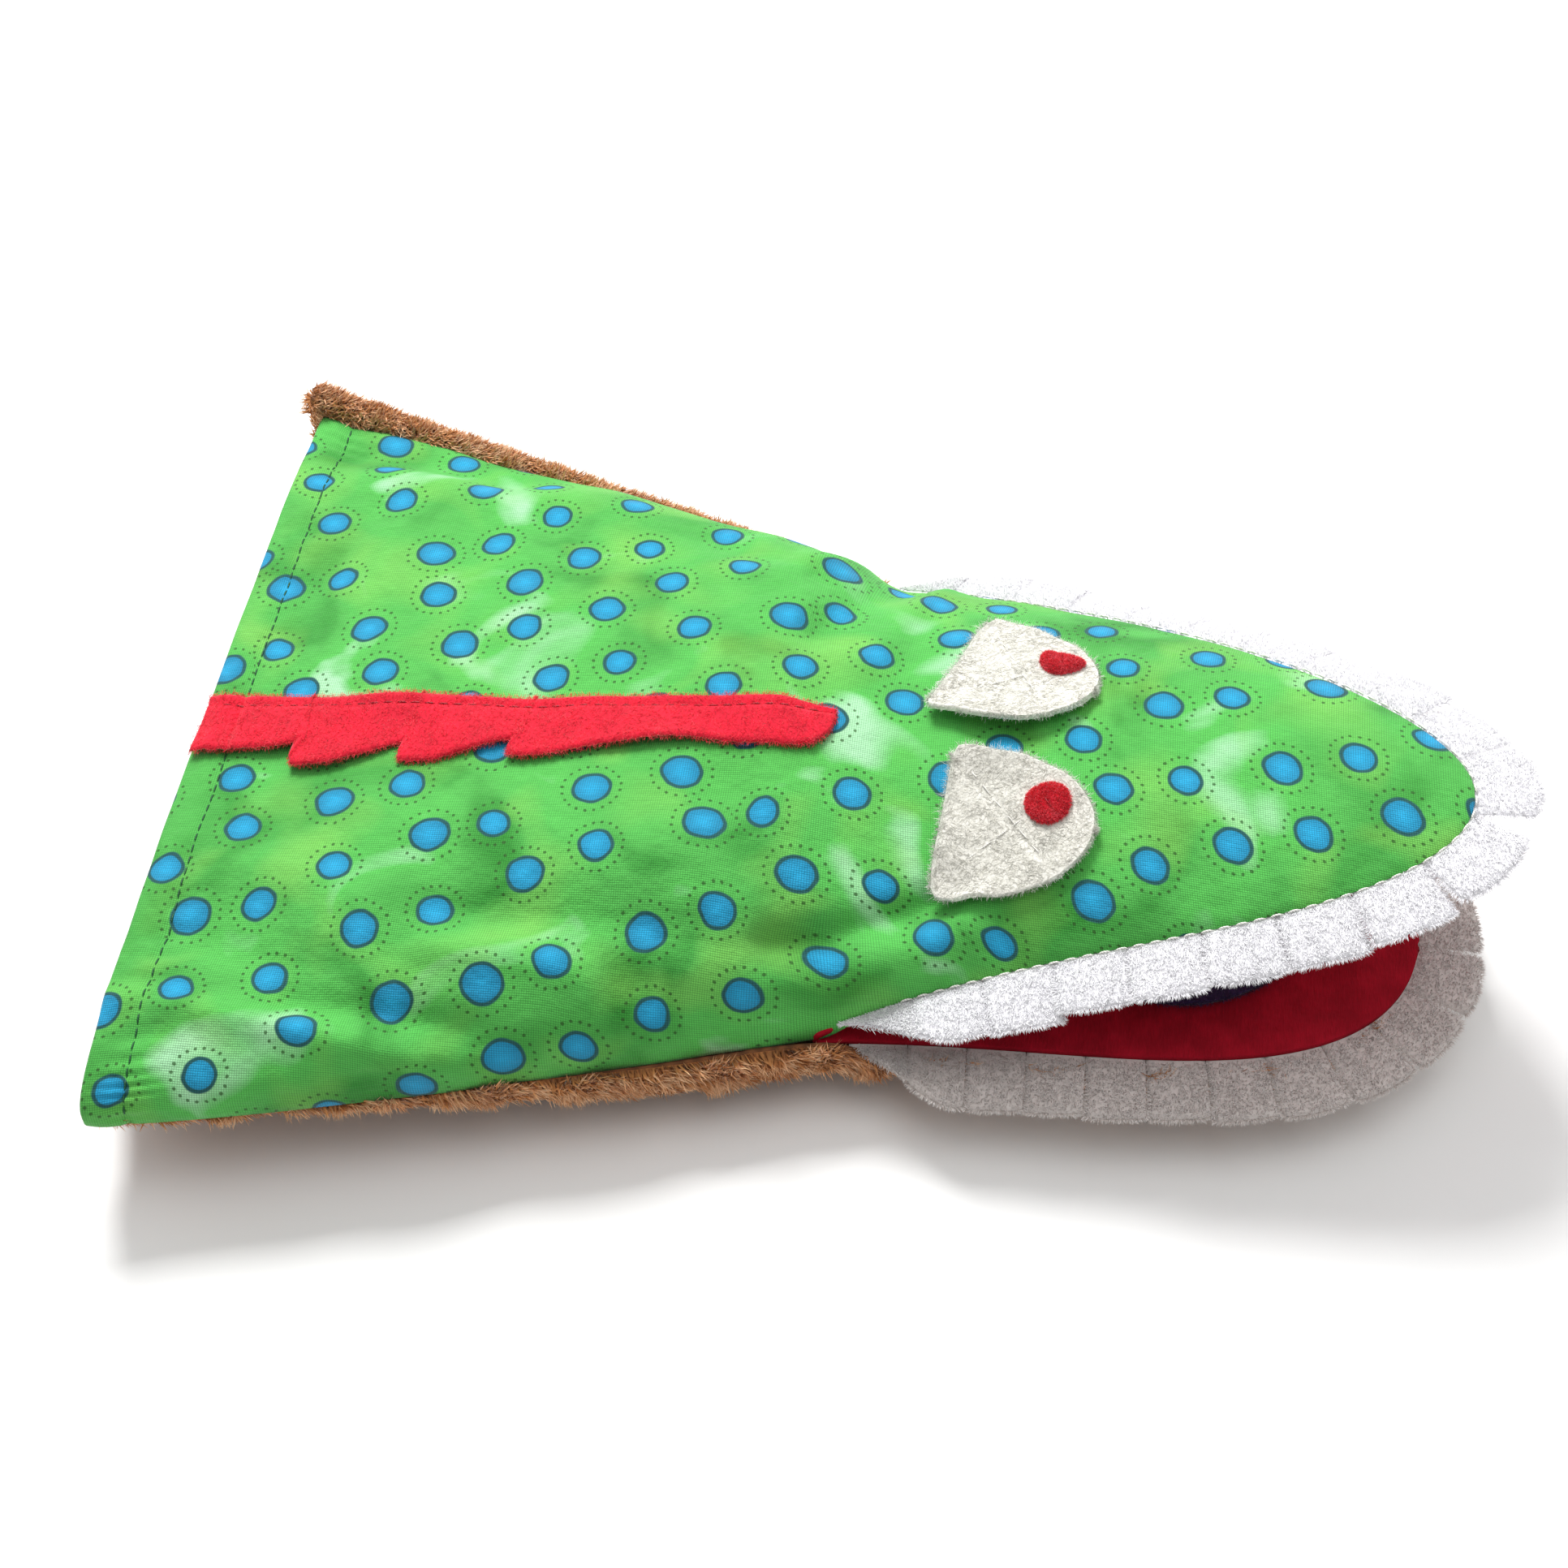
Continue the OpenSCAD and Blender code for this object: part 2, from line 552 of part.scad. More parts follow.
// Tongue: a round-ended felt strip that lies on the floor of the mouth and is sewn down at its root
module at_tongue_root(z) {
  in_lower_jaw() translate([tongue_start, 0, z]) rotate([0, 0, tongue_turn]) children();
}
module tongue() {
  r = tongue_w / 2;
  tip = [for (k = [0:tip_steps]) let (a = 90 - 180 * k / tip_steps)
         [tongue_len - r + r * cos(a), r * sin(a)]];
  color("indigo") at_tongue_root(-lining_gap + gap) linear_extrude(height = felt_t - 0.2)
    polygon(concat([[0, -0.8 * r], [0, 0.8 * r]], tip));
}
module tongue_stitches() {
  n = floor(tongue_w * 0.72 / (1.4 * stitch_len));
  color("indigo") at_tongue_root(-lining_gap + thread_r + lay) for (k = [0:n]) {
    y = 1.4 * stitch_len * (k - n / 2);
    stitch([-1.2, y - stitch_len / 2, 0], [-1.2, y + stitch_len / 2, 0]);
  }
}

back_panel();
back_hem();
back_hem_stitches();
belly_panel();
belly_hem();
belly_hem_stitches();
side_seam_left();
side_seam_right();
mouth_fold();
neck_fold_top();
neck_fold_bottom();
crest_margin();
crest_stitches();
crest_flap();
head_panel();
palate_lining();
upper_board();
upper_teeth();
upper_mouth_seam();
eye_left();
eye_right();
eye_stitches_left();
eye_stitches_right();
pupil_left();
pupil_right();
pupil_stitch_left();
pupil_stitch_right();
chin_panel();
floor_lining();
lower_board();
lower_teeth();
lower_mouth_seam();
tongue_stitches();
tongue();
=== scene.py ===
"""Hand puppet with a cloth sleeve, two hinged jaws, a felt tongue and a felt crest, lying on its belly."""

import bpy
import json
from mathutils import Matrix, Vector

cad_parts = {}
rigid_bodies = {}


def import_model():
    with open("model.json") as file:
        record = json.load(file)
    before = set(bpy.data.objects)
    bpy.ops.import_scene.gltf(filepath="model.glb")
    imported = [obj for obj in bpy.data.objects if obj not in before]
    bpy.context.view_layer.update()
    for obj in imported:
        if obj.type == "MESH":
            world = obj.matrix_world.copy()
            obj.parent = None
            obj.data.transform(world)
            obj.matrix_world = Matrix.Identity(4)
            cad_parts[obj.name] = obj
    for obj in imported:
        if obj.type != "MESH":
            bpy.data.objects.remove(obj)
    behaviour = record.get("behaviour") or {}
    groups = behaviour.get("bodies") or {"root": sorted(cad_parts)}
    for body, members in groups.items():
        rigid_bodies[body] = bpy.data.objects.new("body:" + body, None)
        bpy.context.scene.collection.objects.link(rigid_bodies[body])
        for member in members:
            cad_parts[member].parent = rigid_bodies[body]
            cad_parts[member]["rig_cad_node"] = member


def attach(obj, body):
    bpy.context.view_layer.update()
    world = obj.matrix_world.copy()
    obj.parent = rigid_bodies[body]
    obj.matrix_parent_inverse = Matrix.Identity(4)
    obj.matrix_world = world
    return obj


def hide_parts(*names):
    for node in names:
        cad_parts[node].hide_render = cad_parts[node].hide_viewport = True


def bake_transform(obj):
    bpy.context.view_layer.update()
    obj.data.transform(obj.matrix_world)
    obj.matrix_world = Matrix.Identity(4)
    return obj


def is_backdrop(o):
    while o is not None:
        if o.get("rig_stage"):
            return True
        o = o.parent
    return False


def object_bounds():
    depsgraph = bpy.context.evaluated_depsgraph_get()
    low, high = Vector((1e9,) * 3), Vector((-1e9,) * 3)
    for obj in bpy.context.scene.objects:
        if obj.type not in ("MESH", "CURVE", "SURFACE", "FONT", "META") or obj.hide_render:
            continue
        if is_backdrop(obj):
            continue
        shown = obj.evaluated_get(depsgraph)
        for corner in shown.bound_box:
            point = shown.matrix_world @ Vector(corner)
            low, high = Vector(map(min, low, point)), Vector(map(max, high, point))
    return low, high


bl_info = {
    "name": "Moving Mouth Puppet",
    "version": (1, 0, 0),
    "blender": (4, 5, 0),
    "location": "View3D > Sidebar > Puppet",
    "description": "Makes the cloth, plush, felt and thread of a hand puppet with a moving mouth",
    "category": "Object",
}

import json
import math

import bpy
import numpy as np
from bpy.props import FloatProperty, FloatVectorProperty, IntProperty, PointerProperty
from mathutils import Matrix, Vector

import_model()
CAD_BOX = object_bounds()
MM = 0.001


def hex_linear(code):
    """A colour as sRGB hex, turned to linear RGBA."""
    c = np.array([int(code[i : i + 2], 16) for i in (1, 3, 5)]) / 255
    lin = np.where(c <= 0.04045, c / 12.92, ((c + 0.055) / 1.055) ** 2.4)
    return (*[float(v) for v in lin], 1.0)


def length(name, description, default):
    """A length in the panel, given in millimetres and kept in metres."""
    return FloatProperty(name=name, description=description, default=default * MM, unit="LENGTH")


def colour(name, description, code):
    """A colour in the panel, given as sRGB hex."""
    return FloatVectorProperty(
        name=name, description=description, default=hex_linear(code)[:3], subtype="COLOR", min=0, max=1
    )


class SleeveSizes(bpy.types.PropertyGroup):
    """Sizes of the sleeve, in metres"""

    sleeve_len: length("Sleeve length", "From the wrist edge to the fold of the mouth", 126)
    wrist_half_w: length("Wrist half width", "Half of the width at the wrist", 91)
    wrist_seam_right: length("Right seam height", "Height of the right side seam at the wrist", 23)
    wrist_seam_left: length("Left seam height", "Height of the left side seam at the wrist", 28)
    wrist_h: length("Wrist height", "Height of the back at the wrist", 34)
    neck_h: length("Neck height", "Height of the back at the neck", 45.5)
    hem_w: length("Hem width", "Width of the hem that is turned in at the wrist", 14)
    hem_stitch_x: length("Hem stitch line", "From the wrist edge to the row of stitches", 7.5)
    belly_over: length("Belly overhang", "How far the belly reaches past the back at the wrist", 2.5)
    allowance_w: length("Seam allowance", "Width of the cloth edges inside the side seams", 7)
    cotton_t: length("Cotton thickness", "Thickness of the printed cotton", 0.4)
    pile_len: length("Plush pile", "Length of the plush's pile", 4.6)


class MouthSizes(bpy.types.PropertyGroup):
    """Sizes of both jaws, in metres"""

    mouth_half_w: length("Mouth half width", "Half of the width at the corners of the mouth", 56.5)
    hinge_z: length("Fold height", "Height of the mouth's fold above the table", 16)
    upper_len: length("Upper jaw", "From the fold to the snout's seam", 117)
    lower_len: length("Lower jaw", "From the fold to the chin's seam", 107)
    upper_nose_w: length("Snout half width", "Half width that the upper jaw tapers towards", 25)
    lower_nose_w: length("Chin half width", "Half width that the lower jaw tapers towards", 38)
    snout_sway: length("Snout sway", "How far the snout's tip is set off to one side", -22)
    head_h: length("Head height", "Height of the head over its seam at the neck", 21)
    snout_h: length("Snout height", "Height of the head over its seam at the snout", 5)
    felt_t: length("Felt thickness", "Thickness of the felt", 1.2)
    tooth_len: length("Tooth length", "How far the teeth stand out of the seam", 12)
    upper_tooth_w: length("Upper tooth width", "Width of one upper tooth", 13)
    lower_tooth_w: length("Lower tooth width", "Width of one lower tooth", 10.5)
    tongue_len: length("Tongue length", "Length of the tongue", 78)
    tongue_w: length("Tongue width", "Width of the tongue", 41)


class FaceSizes(bpy.types.PropertyGroup):
    """Sizes of the eyes and the crest, in metres"""

    eye_w: length("Eye width", "Width of an eye across its straight base", 30)
    eye_len: length("Eye length", "Length of an eye from base to tip", 28)
    eye_x: length("Eye place", "From the fold of the mouth to the middle of the eyes", 39)
    eye_space: length("Eye space", "Distance between the two eyes", 5)
    pupil_d: length("Pupil diameter", "Diameter of a pupil", 8)
    crest_len: length("Crest length", "Length of the crest", 124)
    crest_w: length("Crest width", "Width of the crest at its teeth", 17)
    crest_margin_w: length("Crest margin", "Width of the part that is sewn down", 3)
    crest_pitch: length("Crest pitch", "Distance between the crest's teeth", 21)


class ClothColours(bpy.types.PropertyGroup):
    """Colours of the cloths and threads"""

    mint: colour("Mint", "Palest green of the cotton's ground", "#A3DBAA")
    leaf: colour("Leaf", "Middle green of the cotton's ground", "#4FAE4B")
    moss: colour("Moss", "Deepest green of the cotton's ground", "#2F8A2E")
    lime: colour("Lime", "Yellowish green of the cotton's ground", "#86C858")
    dot: colour("Dot", "Blue of the printed dots", "#1F9FCD")
    dot_edge: colour("Dot edge", "Dark line round the printed dots", "#1B5556")
    plush: colour("Plush", "Brown of the plush at the middle of its pile", "#CB8850")
    plush_tip: colour("Plush tips", "Brown of the plush at the tips of its pile", "#F0C49A")
    plush_root: colour("Plush roots", "Brown of the plush at its backing", "#A0683C")
    red: colour("Red felt", "Red of the crest, the lining and the pupils", "#DA1B35")
    white: colour("White pile", "White of the teeth", "#F6F5F8")
    eye: colour("White felt", "Off-white of the eyes", "#E9E7DE")
    purple: colour("Purple felt", "Purple of the tongue", "#2E1B42")


GROUPS = {"puppet_sleeve": SleeveSizes, "puppet_mouth": MouthSizes, "puppet_face": FaceSizes}


class Sizes:
    """Every size of the property groups, in millimetres, with the sizes that follow from them."""

    def __init__(self, scene):
        for prop, group in GROUPS.items():
            for name in group.__annotations__:
                setattr(self, name, getattr(getattr(scene, prop), name) / MM)
        self.rest = math.radians(17.5)  # upper jaw above level
        self.power = 4.9  # bluntness of both snouts
        self.origin_x = (
            self.sleeve_len + (self.upper_len + self.tooth_len) * math.cos(self.rest) - self.belly_over
        ) / 2
        self.lining_gap = 0.9  # from the hinge's plane to a lining
        self.teeth_z = self.lining_gap + self.felt_t + 0.1
        self.rim_z = self.teeth_z + 1.1
        self.crest_slope = math.atan((self.neck_h - self.wrist_h) / self.sleeve_len)
        self.neck_back, self.head_start, self.chin_start = 14.0, 20.0, 18.0
        self.neck_len = 34.0  # along the cotton, from the sleeve's end to the head's beginning
        self.throat_len = 32.0  # along the plush, from the sleeve's end to the chin's beginning
        self.eye_shift, self.eye_turn, self.eye_tilt = -5.0, -7.0, 8.0  # millimetres, then degrees
        self.tongue_start = 13  # from the fold to the tongue's root
        self.tongue_turn = math.radians(-20)  # to the right


def sizes():
    """The sizes that the panel holds now."""
    return Sizes(bpy.context.scene)


def mix(a, b, t):
    """From a at t = 0 to b at t = 1 in a straight line."""
    return a + (b - a) * t


def ease(t):
    """From 0 to 1 with a level start and end."""
    t = np.clip(t, 0, 1)
    return t * t * (3 - 2 * t)


def spow(v, n):
    """A power that keeps the sign."""
    return np.sign(v) * np.abs(v) ** n


def stack(x, y, z):
    """Points from three grids of coordinates, which are stretched to one size."""
    return np.stack(np.broadcast_arrays(x, y, z), -1)


def unit(v):
    """The same directions with length 1."""
    return v / np.maximum(np.linalg.norm(v, axis=-1, keepdims=True), 1e-9)


# Shapes, in millimetres. X runs from the wrist to the snout, and Y to the puppet's left side.


def share(s, x):
    """How far along the sleeve x lies, from 0 at the wrist to 1 at the mouth."""
    return np.clip(x, 0, s.sleeve_len) / s.sleeve_len


def sleeve_w(s, x):
    """Half width: a straight taper from wrist to mouth, slightly bowed."""
    return mix(s.wrist_half_w, s.mouth_half_w, share(s, x) ** 1.1)


def seam_z(s, x, side):
    """Height of the seam line, higher on the left at the wrist, and level with the hinge at the mouth."""
    fall = share(s, x) ** 0.6
    middle = (s.wrist_seam_left + s.wrist_seam_right) / 2
    edge = np.where(side > 0, s.wrist_seam_left, s.wrist_seam_right)
    return mix(mix(middle, s.hinge_z, fall), mix(edge, s.hinge_z, fall), np.abs(side))


def back_point(s, x, a, inset=0.0):
    """Back of the sleeve: a superellipse arch over the seam line, with a from 0 at the left seam to pi at the
    right."""
    n = mix(3.4, 2.3, share(s, x))
    c = spow(np.cos(a), 2 / n)
    low = seam_z(s, x, c)
    rise = mix(s.wrist_h, s.neck_h, share(s, x)) - inset - low
    return stack(x, (sleeve_w(s, x) - inset) * c, low + 0.05 + rise * np.abs(np.sin(a)) ** (2 / n))


def sway(s, t):
    """Sideways shift of a jaw's middle line, which grows towards the snout."""
    return s.snout_sway * np.abs(t) ** 1.4


def shrink(s, t):
    """Share of a jaw's width left at a share t of its length: a superellipse that closes at the snout."""
    return np.sqrt(np.maximum(0, 1 - np.clip(t, 0, 1) ** s.power))


def upper_half(s, t, side):
    """Half width of the upper jaw, drawn in a little along its right side."""
    drawn_in = 0.06 * np.sin(np.pi * np.clip(t, 0, 1)) * np.clip(-2 * side, 0, 1)
    return mix(s.mouth_half_w, s.upper_nose_w, t) * (1 - drawn_in)


def head_point(s, t, side, inset=0.0):
    """Head over the upper jaw: a low dome whose height falls to the snout and whose outline ends bluntly."""
    k = shrink(s, t)
    h = (s.snout_h + (s.head_h - s.snout_h) * (1 - np.clip(t, 0, 1)) ** 1.2) * k
    y = (upper_half(s, t, side) - inset) * k * side + sway(s, t)
    rise = np.maximum(0.02, h - inset * np.minimum(1, 2 * k))
    return stack((s.upper_len - inset) * t, y, s.rim_z + rise * np.maximum(0, 1 - side * side) ** 0.75)


def pitched(s, p, angle):
    """A point of a jaw turned up by angle about the hinge and moved to its place on the sleeve."""
    c, n = math.cos(angle), math.sin(angle)
    return np.stack(
        [
            s.sleeve_len + p[..., 0] * c - p[..., 2] * n,
            p[..., 1],
            s.hinge_z + p[..., 0] * n + p[..., 2] * c,
        ],
        -1,
    )


def along_jaw(r, start, whole):
    """Share of a jaw's length at distance r from the neck, with rows closer together towards the nose."""
    k = np.clip(r / whole, 0, 1)
    return mix(start, 0.9995, 1 - (1 - k) ** 1.7)


def fold(x, y, x0, y0, x1, y1, width, height):
    """A crease or ridge along a line: a bell across it that fades out past both ends."""
    dx, dy = x1 - x0, y1 - y0
    run = math.hypot(dx, dy)
    along = ((x - x0) * dx + (y - y0) * dy) / run
    off = ((y - y0) * dx - (x - x0) * dy) / run
    past = np.maximum(0, np.maximum(-along, along - run))
    return height * np.exp(-((off / width) ** 2) - (past / (1.6 * width)) ** 2)


# Creases of the cotton where it has been squeezed and worn: line, half width and height, in millimetres
CREASES = (
    (8, 78, 46, 70, 6.5, -2.6),
    (24, 66, 74, 58, 7.0, 1.6),
    (27, 58, 33, 6, 8.0, 1.2),
    (46, 44, 60, 14, 7.0, -1.0),
    (106, -22, 123, -54, 6.0, -1.9),
    (117, -49, 146, -38, 3.2, -2.6),
    (120, -54, 150, -43, 4.5, 2.0),
    (60, -49, 100, -50, 4.5, -1.8),
    (34, -69, 64, -70, 3.6, -2.2),
    (4, -71, 66, -76, 3.2, 2.0),
    (58, -57, 84, -58, 3.6, 1.6),
    (86, -57, 112, -62, 4.0, -1.6),
    (14, -40, 40, -48, 6.0, 1.4),
    (8, -56, 32, -62, 4.5, -1.4),
    (40, -30, 96, -36, 9.0, 1.3),
    (118, 22, 134, 50, 4.5, -2.0),
    (128, 14, 140, 46, 3.5, 1.3),
    (110, 40, 124, 54, 4.0, 1.4),
    (92, 50, 112, 40, 4.5, -1.2),
    (12, 20, 20, 52, 5.0, -0.9),
    (160, -8, 200, -22, 7.0, -0.9),
    (150, 20, 185, 8, 5.0, 0.9),
    (170, -40, 205, -44, 4.5, 0.8),
    (205, -16, 222, -30, 4.0, -0.8),
)


def mouth_edge(s, x, side, up, angle):
    """Height of a panel's edge: the side seam as far as the hinge, then the jaw's plane, from which it parts
    within 10 mm to let the teeth through."""
    past = np.maximum(0, x - s.sleeve_len)
    return seam_z(s, x, side * np.ones_like(x)) + past * math.tan(angle) + up * s.rim_z * ease(past / 10)


def led_to_edges(s, p, v, a, ends, make, up, angle):
    """Moves the points near both edges up or down, so that the edges follow mouth_edge at the neck."""
    between = (v > 0) & (v < 1)
    for end, side in ends:
        q = make(np.full_like(v, end))
        shift = np.where(between, mouth_edge(s, q[..., 0], side, up, angle) - q[..., 2], 0.0)
        p[..., 2] += shift * ease(1 - np.abs(a - end) / 1.1)
    return p


def cotton_panel(s, r, a):
    """The printed panel from wrist to snout: back_point up to the neck, head_point from the jaw on, and an
    eased mixture of the two between them."""
    end = s.sleeve_len - s.neck_back
    v = np.clip((r - end) / s.neck_len, 0, 1)
    back = back_point(s, np.where(r < end, r, end + s.neck_back * v), a)
    whole = s.upper_len - s.head_start
    t = np.where(
        r < end + s.neck_len,
        s.head_start * v / s.upper_len,
        along_jaw(r - end - s.neck_len, s.head_start / s.upper_len, whole),
    )
    head = pitched(s, head_point(s, t, spow(np.cos(a), mix(1.15, 1.0, v))), s.rest)
    return mix(back, head, ease(v)[..., None])


def cotton_point(s, r, a):
    """The printed panel with both edges led to the corners of the mouth."""
    v = np.clip((r - s.sleeve_len + s.neck_back) / s.neck_len, 0, 1)
    p = cotton_panel(s, r, a)
    ends = ((0.0, 1), (np.pi, -1))
    return led_to_edges(s, p, v, a, ends, lambda end: cotton_panel(s, r, end), 1, s.rest)


def crease_height(s, p, r, a):
    """Height of the creases and waves at each point, fading out at the seams."""
    x, y = p[..., 0], p[..., 1]
    h = sum(fold(x, y, *c) for c in CREASES)
    h = h + 0.45 * np.sin(x / 9.5 + y / 16) * np.sin(y / 11 - x / 31 + 0.7)
    h = h + 0.22 * np.sin(x / 4.1 - y / 6.3 + 1.3) * np.sin(y / 5.2 + x / 8.7)
    calm = mix(1.0, 0.35, ease((r - 150) / 20))
    return h * calm * np.minimum(1, np.sin(a) * 3.2 + 0.12)


def grid_normals(p):
    """Unit normals of a grid of points, from the cross product of its two directions."""
    return unit(np.cross(np.gradient(p, axis=0), np.gradient(p, axis=1)))


def normals_up(p, row, col):
    """A grid's normals, all turned so that the one at that row and column points up."""
    n = grid_normals(p)
    return n * np.sign(n[row, col, 2])


def grid_faces(rows, cols):
    """Four-sided faces between the points of a grid."""
    i, j = np.meshgrid(np.arange(rows - 1), np.arange(cols - 1), indexing="ij")
    k = (i * cols + j).ravel()
    return np.stack([k, k + 1, k + cols + 1, k + cols], 1)


def signed_volume(p, f):
    """Six times the volume that the faces enclose, negative if they face inwards."""
    a, b, c = p[f[:, 0]], p[f[:, 1]], p[f[:, 2]]
    v = (a * np.cross(b, c)).sum()
    if f.shape[1] == 4:
        v += (a * np.cross(c, p[f[:, 3]])).sum()
    return v


def put_mesh(name, points, faces, materials, uv=None, indices=None):
    """A mesh object from points in millimetres and faces of one size, at the origin of the puppet's frame."""
    s = sizes()
    mesh = bpy.data.meshes.new(name)
    place = (np.asarray(points, float) - [s.origin_x, 0, 0]) * MM
    mesh.vertices.add(len(place))
    mesh.vertices.foreach_set("co", place.astype(np.float32).ravel())
    corners = faces.shape[1]
    mesh.loops.add(faces.size)
    mesh.loops.foreach_set("vertex_index", faces.astype(np.int32).ravel())
    mesh.polygons.add(len(faces))
    mesh.polygons.foreach_set("loop_start", np.arange(0, faces.size, corners, dtype=np.int32))
    if uv is not None:
        layer = mesh.uv_layers.new(name="cloth_mm")
        layer.data.foreach_set("uv", np.asarray(uv, np.float32)[faces.ravel()].ravel())
    for m in materials:
        mesh.materials.append(m)
    if indices is not None:
        mesh.polygons.foreach_set("material_index", indices.astype(np.int32))
    mesh.update(calc_edges=True)
    mesh.validate()
    mesh.polygons.foreach_set("use_smooth", np.ones(len(mesh.polygons), bool))
    obj = bpy.data.objects.new(name, mesh)
    bpy.context.scene.collection.objects.link(obj)
    return obj


def put_parts(name, parts, finish):
    """A mesh object in one finish, from (points, faces, uv)."""
    points, faces, uv = parts
    return put_mesh(name, points, faces, [material(finish)], uv)


def fix(obj, body, slot, *nodes):
    """The piece rides on a body and stands for the CAD nodes, which it hides. slot is not used."""
    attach(obj, body)
    if nodes:
        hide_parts(*nodes)


def join_parts(parts):
    """Several (points, faces, uv) put together as one."""
    points, faces, uvs, n = [], [], [], 0
    for p, f, uv in parts:
        points.append(p)
        faces.append(f + n)
        uvs.append(uv)
        n += len(p)
    return np.concatenate(points), np.concatenate(faces), np.concatenate(uvs)


def shell(outer, inner):
    """Points and faces of a closed sheet between two grids: the outer faces, the inner ones and then those of
    the rim, turned so that they enclose a volume."""
    rows, cols = outer.shape[:2]
    n = rows * cols
    quads = grid_faces(rows, cols)
    ids = np.arange(n).reshape(rows, cols)
    loop = np.concatenate([ids[0, :-1], ids[:-1, -1], ids[-1, :0:-1], ids[:0:-1, 0]])
    following = np.roll(loop, -1)
    rim = np.stack([loop, following, following + n, loop + n], 1)
    faces = np.concatenate([quads[:, ::-1], quads + n, rim])
    points = np.concatenate([outer.reshape(-1, 3), inner.reshape(-1, 3)])
    return points, faces[:, ::-1] if signed_volume(points, faces) < 0 else faces


def closed_sheet(name, outer, inner, materials, uv=None):
    """A closed sheet between two grids. materials are the outer one, then if given the inner one and the
    rim's."""
    points, faces = shell(outer, inner)
    one_side = (outer.shape[0] - 1) * (outer.shape[1] - 1)
    last = len(materials) - 1
    kind = np.repeat([0, min(1, last), last], [one_side, one_side, len(faces) - 2 * one_side])
    flat = None if uv is None else np.concatenate([uv.reshape(-1, 2)] * 2)
    return put_mesh(name, points, faces, materials, flat, kind)


def edge_share(rows, cols, edge_rows, edge_cols):
    """Thickness share of a slab, a quarter round near its four edges."""
    i = np.minimum(np.arange(rows), np.arange(rows)[::-1])[:, None] / edge_rows
    j = np.minimum(np.arange(cols), np.arange(cols)[::-1])[None] / edge_cols
    d = np.clip(np.minimum(i, j), 0, 1)
    return np.sqrt(np.maximum(0, 1 - (1 - d) ** 2)) * 0.85 + 0.15


def slab(name, mid, normal, thick, materials, edge=(2, 2), uv=None):
    """A felt slab: its middle grid moved both ways along the normal, with rounded edges."""
    h = (edge_share(*mid.shape[:2], *edge) * thick / 2)[..., None]
    return closed_sheet(name, mid + normal * h, mid - normal * h, materials, uv)


def flat_uv(p):
    """Cloth coordinates in millimetres: lengths along the middle column, and across from the middle."""
    middle = p.shape[1] // 2
    step = np.linalg.norm(np.diff(p[:, middle], axis=0), axis=-1)
    u = np.concatenate([[0], np.cumsum(step)])
    widths = np.linalg.norm(np.diff(p, axis=1), axis=-1)
    across = np.concatenate([np.zeros((len(p), 1)), np.cumsum(widths, 1)], 1)
    across = across - across[:, middle : middle + 1]
    return np.stack(np.broadcast_arrays(u[:, None], across), -1)


def scatter(p, n, count, rng, weight=None):
    """Random places on a grid: cells drawn by area, and inside them a bilinear point, normal and direction."""
    d1, d2 = p[1:, 1:] - p[:-1, :-1], p[1:, :-1] - p[:-1, 1:]
    area = np.linalg.norm(np.cross(d1, d2), axis=-1) / 2
    if weight is not None:
        area = area * weight[:-1, :-1]
    cell = rng.choice(area.size, count, p=(area / area.sum()).ravel())
    i, j = np.divmod(cell, area.shape[1])
    u, v = rng.random((count, 1)), rng.random((count, 1))

    def pick(g):
        near = g[i, j] * (1 - u) + g[i + 1, j] * u
        far = g[i, j + 1] * (1 - u) + g[i + 1, j + 1] * u
        return near * (1 - v) + far * v

    return pick(p), unit(pick(n)), unit(p[i + 1, j] - p[i, j])


def along_edge(edge, count, rng):
    """Random points along a line of points, and the number of the point before each."""
    pick = rng.integers(0, len(edge) - 1, count)
    return mix(edge[pick], edge[pick + 1], rng.random((count, 1))), pick


def blades(root, up, lean, long, wide, rng, bend=0.6, face=None, ruffle=0.4):
    """Fine pile: each hair is a thin blade that leaves along up, bends over towards lean and ends in a point.
    Its flat side is turned to face, give or take ruffle, so that combed pile catches light as the cloth would.
    Its cloth coordinates are a random number and the share of its length."""
    count = len(root)
    mid = root + up * (long * 0.5)[:, None]
    tip = mid + unit(up * (1 - bend) + lean * bend) * (long * 0.5)[:, None]
    turned = rng.normal(size=(count, 3)) if face is None else face + rng.normal(size=(count, 3)) * ruffle
    side = unit(np.cross(unit(tip - root), turned)) * (np.asarray(wide) * np.ones(count) / 2)[:, None]
    points = np.stack([root - side, root + side, mid + side * 0.9, mid - side * 0.9, tip], 1).reshape(-1, 3)
    base = np.arange(count)[:, None, None] * 5
    faces = (base + np.array([[0, 1, 2], [0, 2, 3], [3, 2, 4]])[None]).reshape(-1, 3)
    tone = rng.random(count)
    uv = np.stack([np.repeat(tone, 5), np.tile([0, 0, 0.5, 0.5, 1.0], count)], 1)
    return points, faces, uv


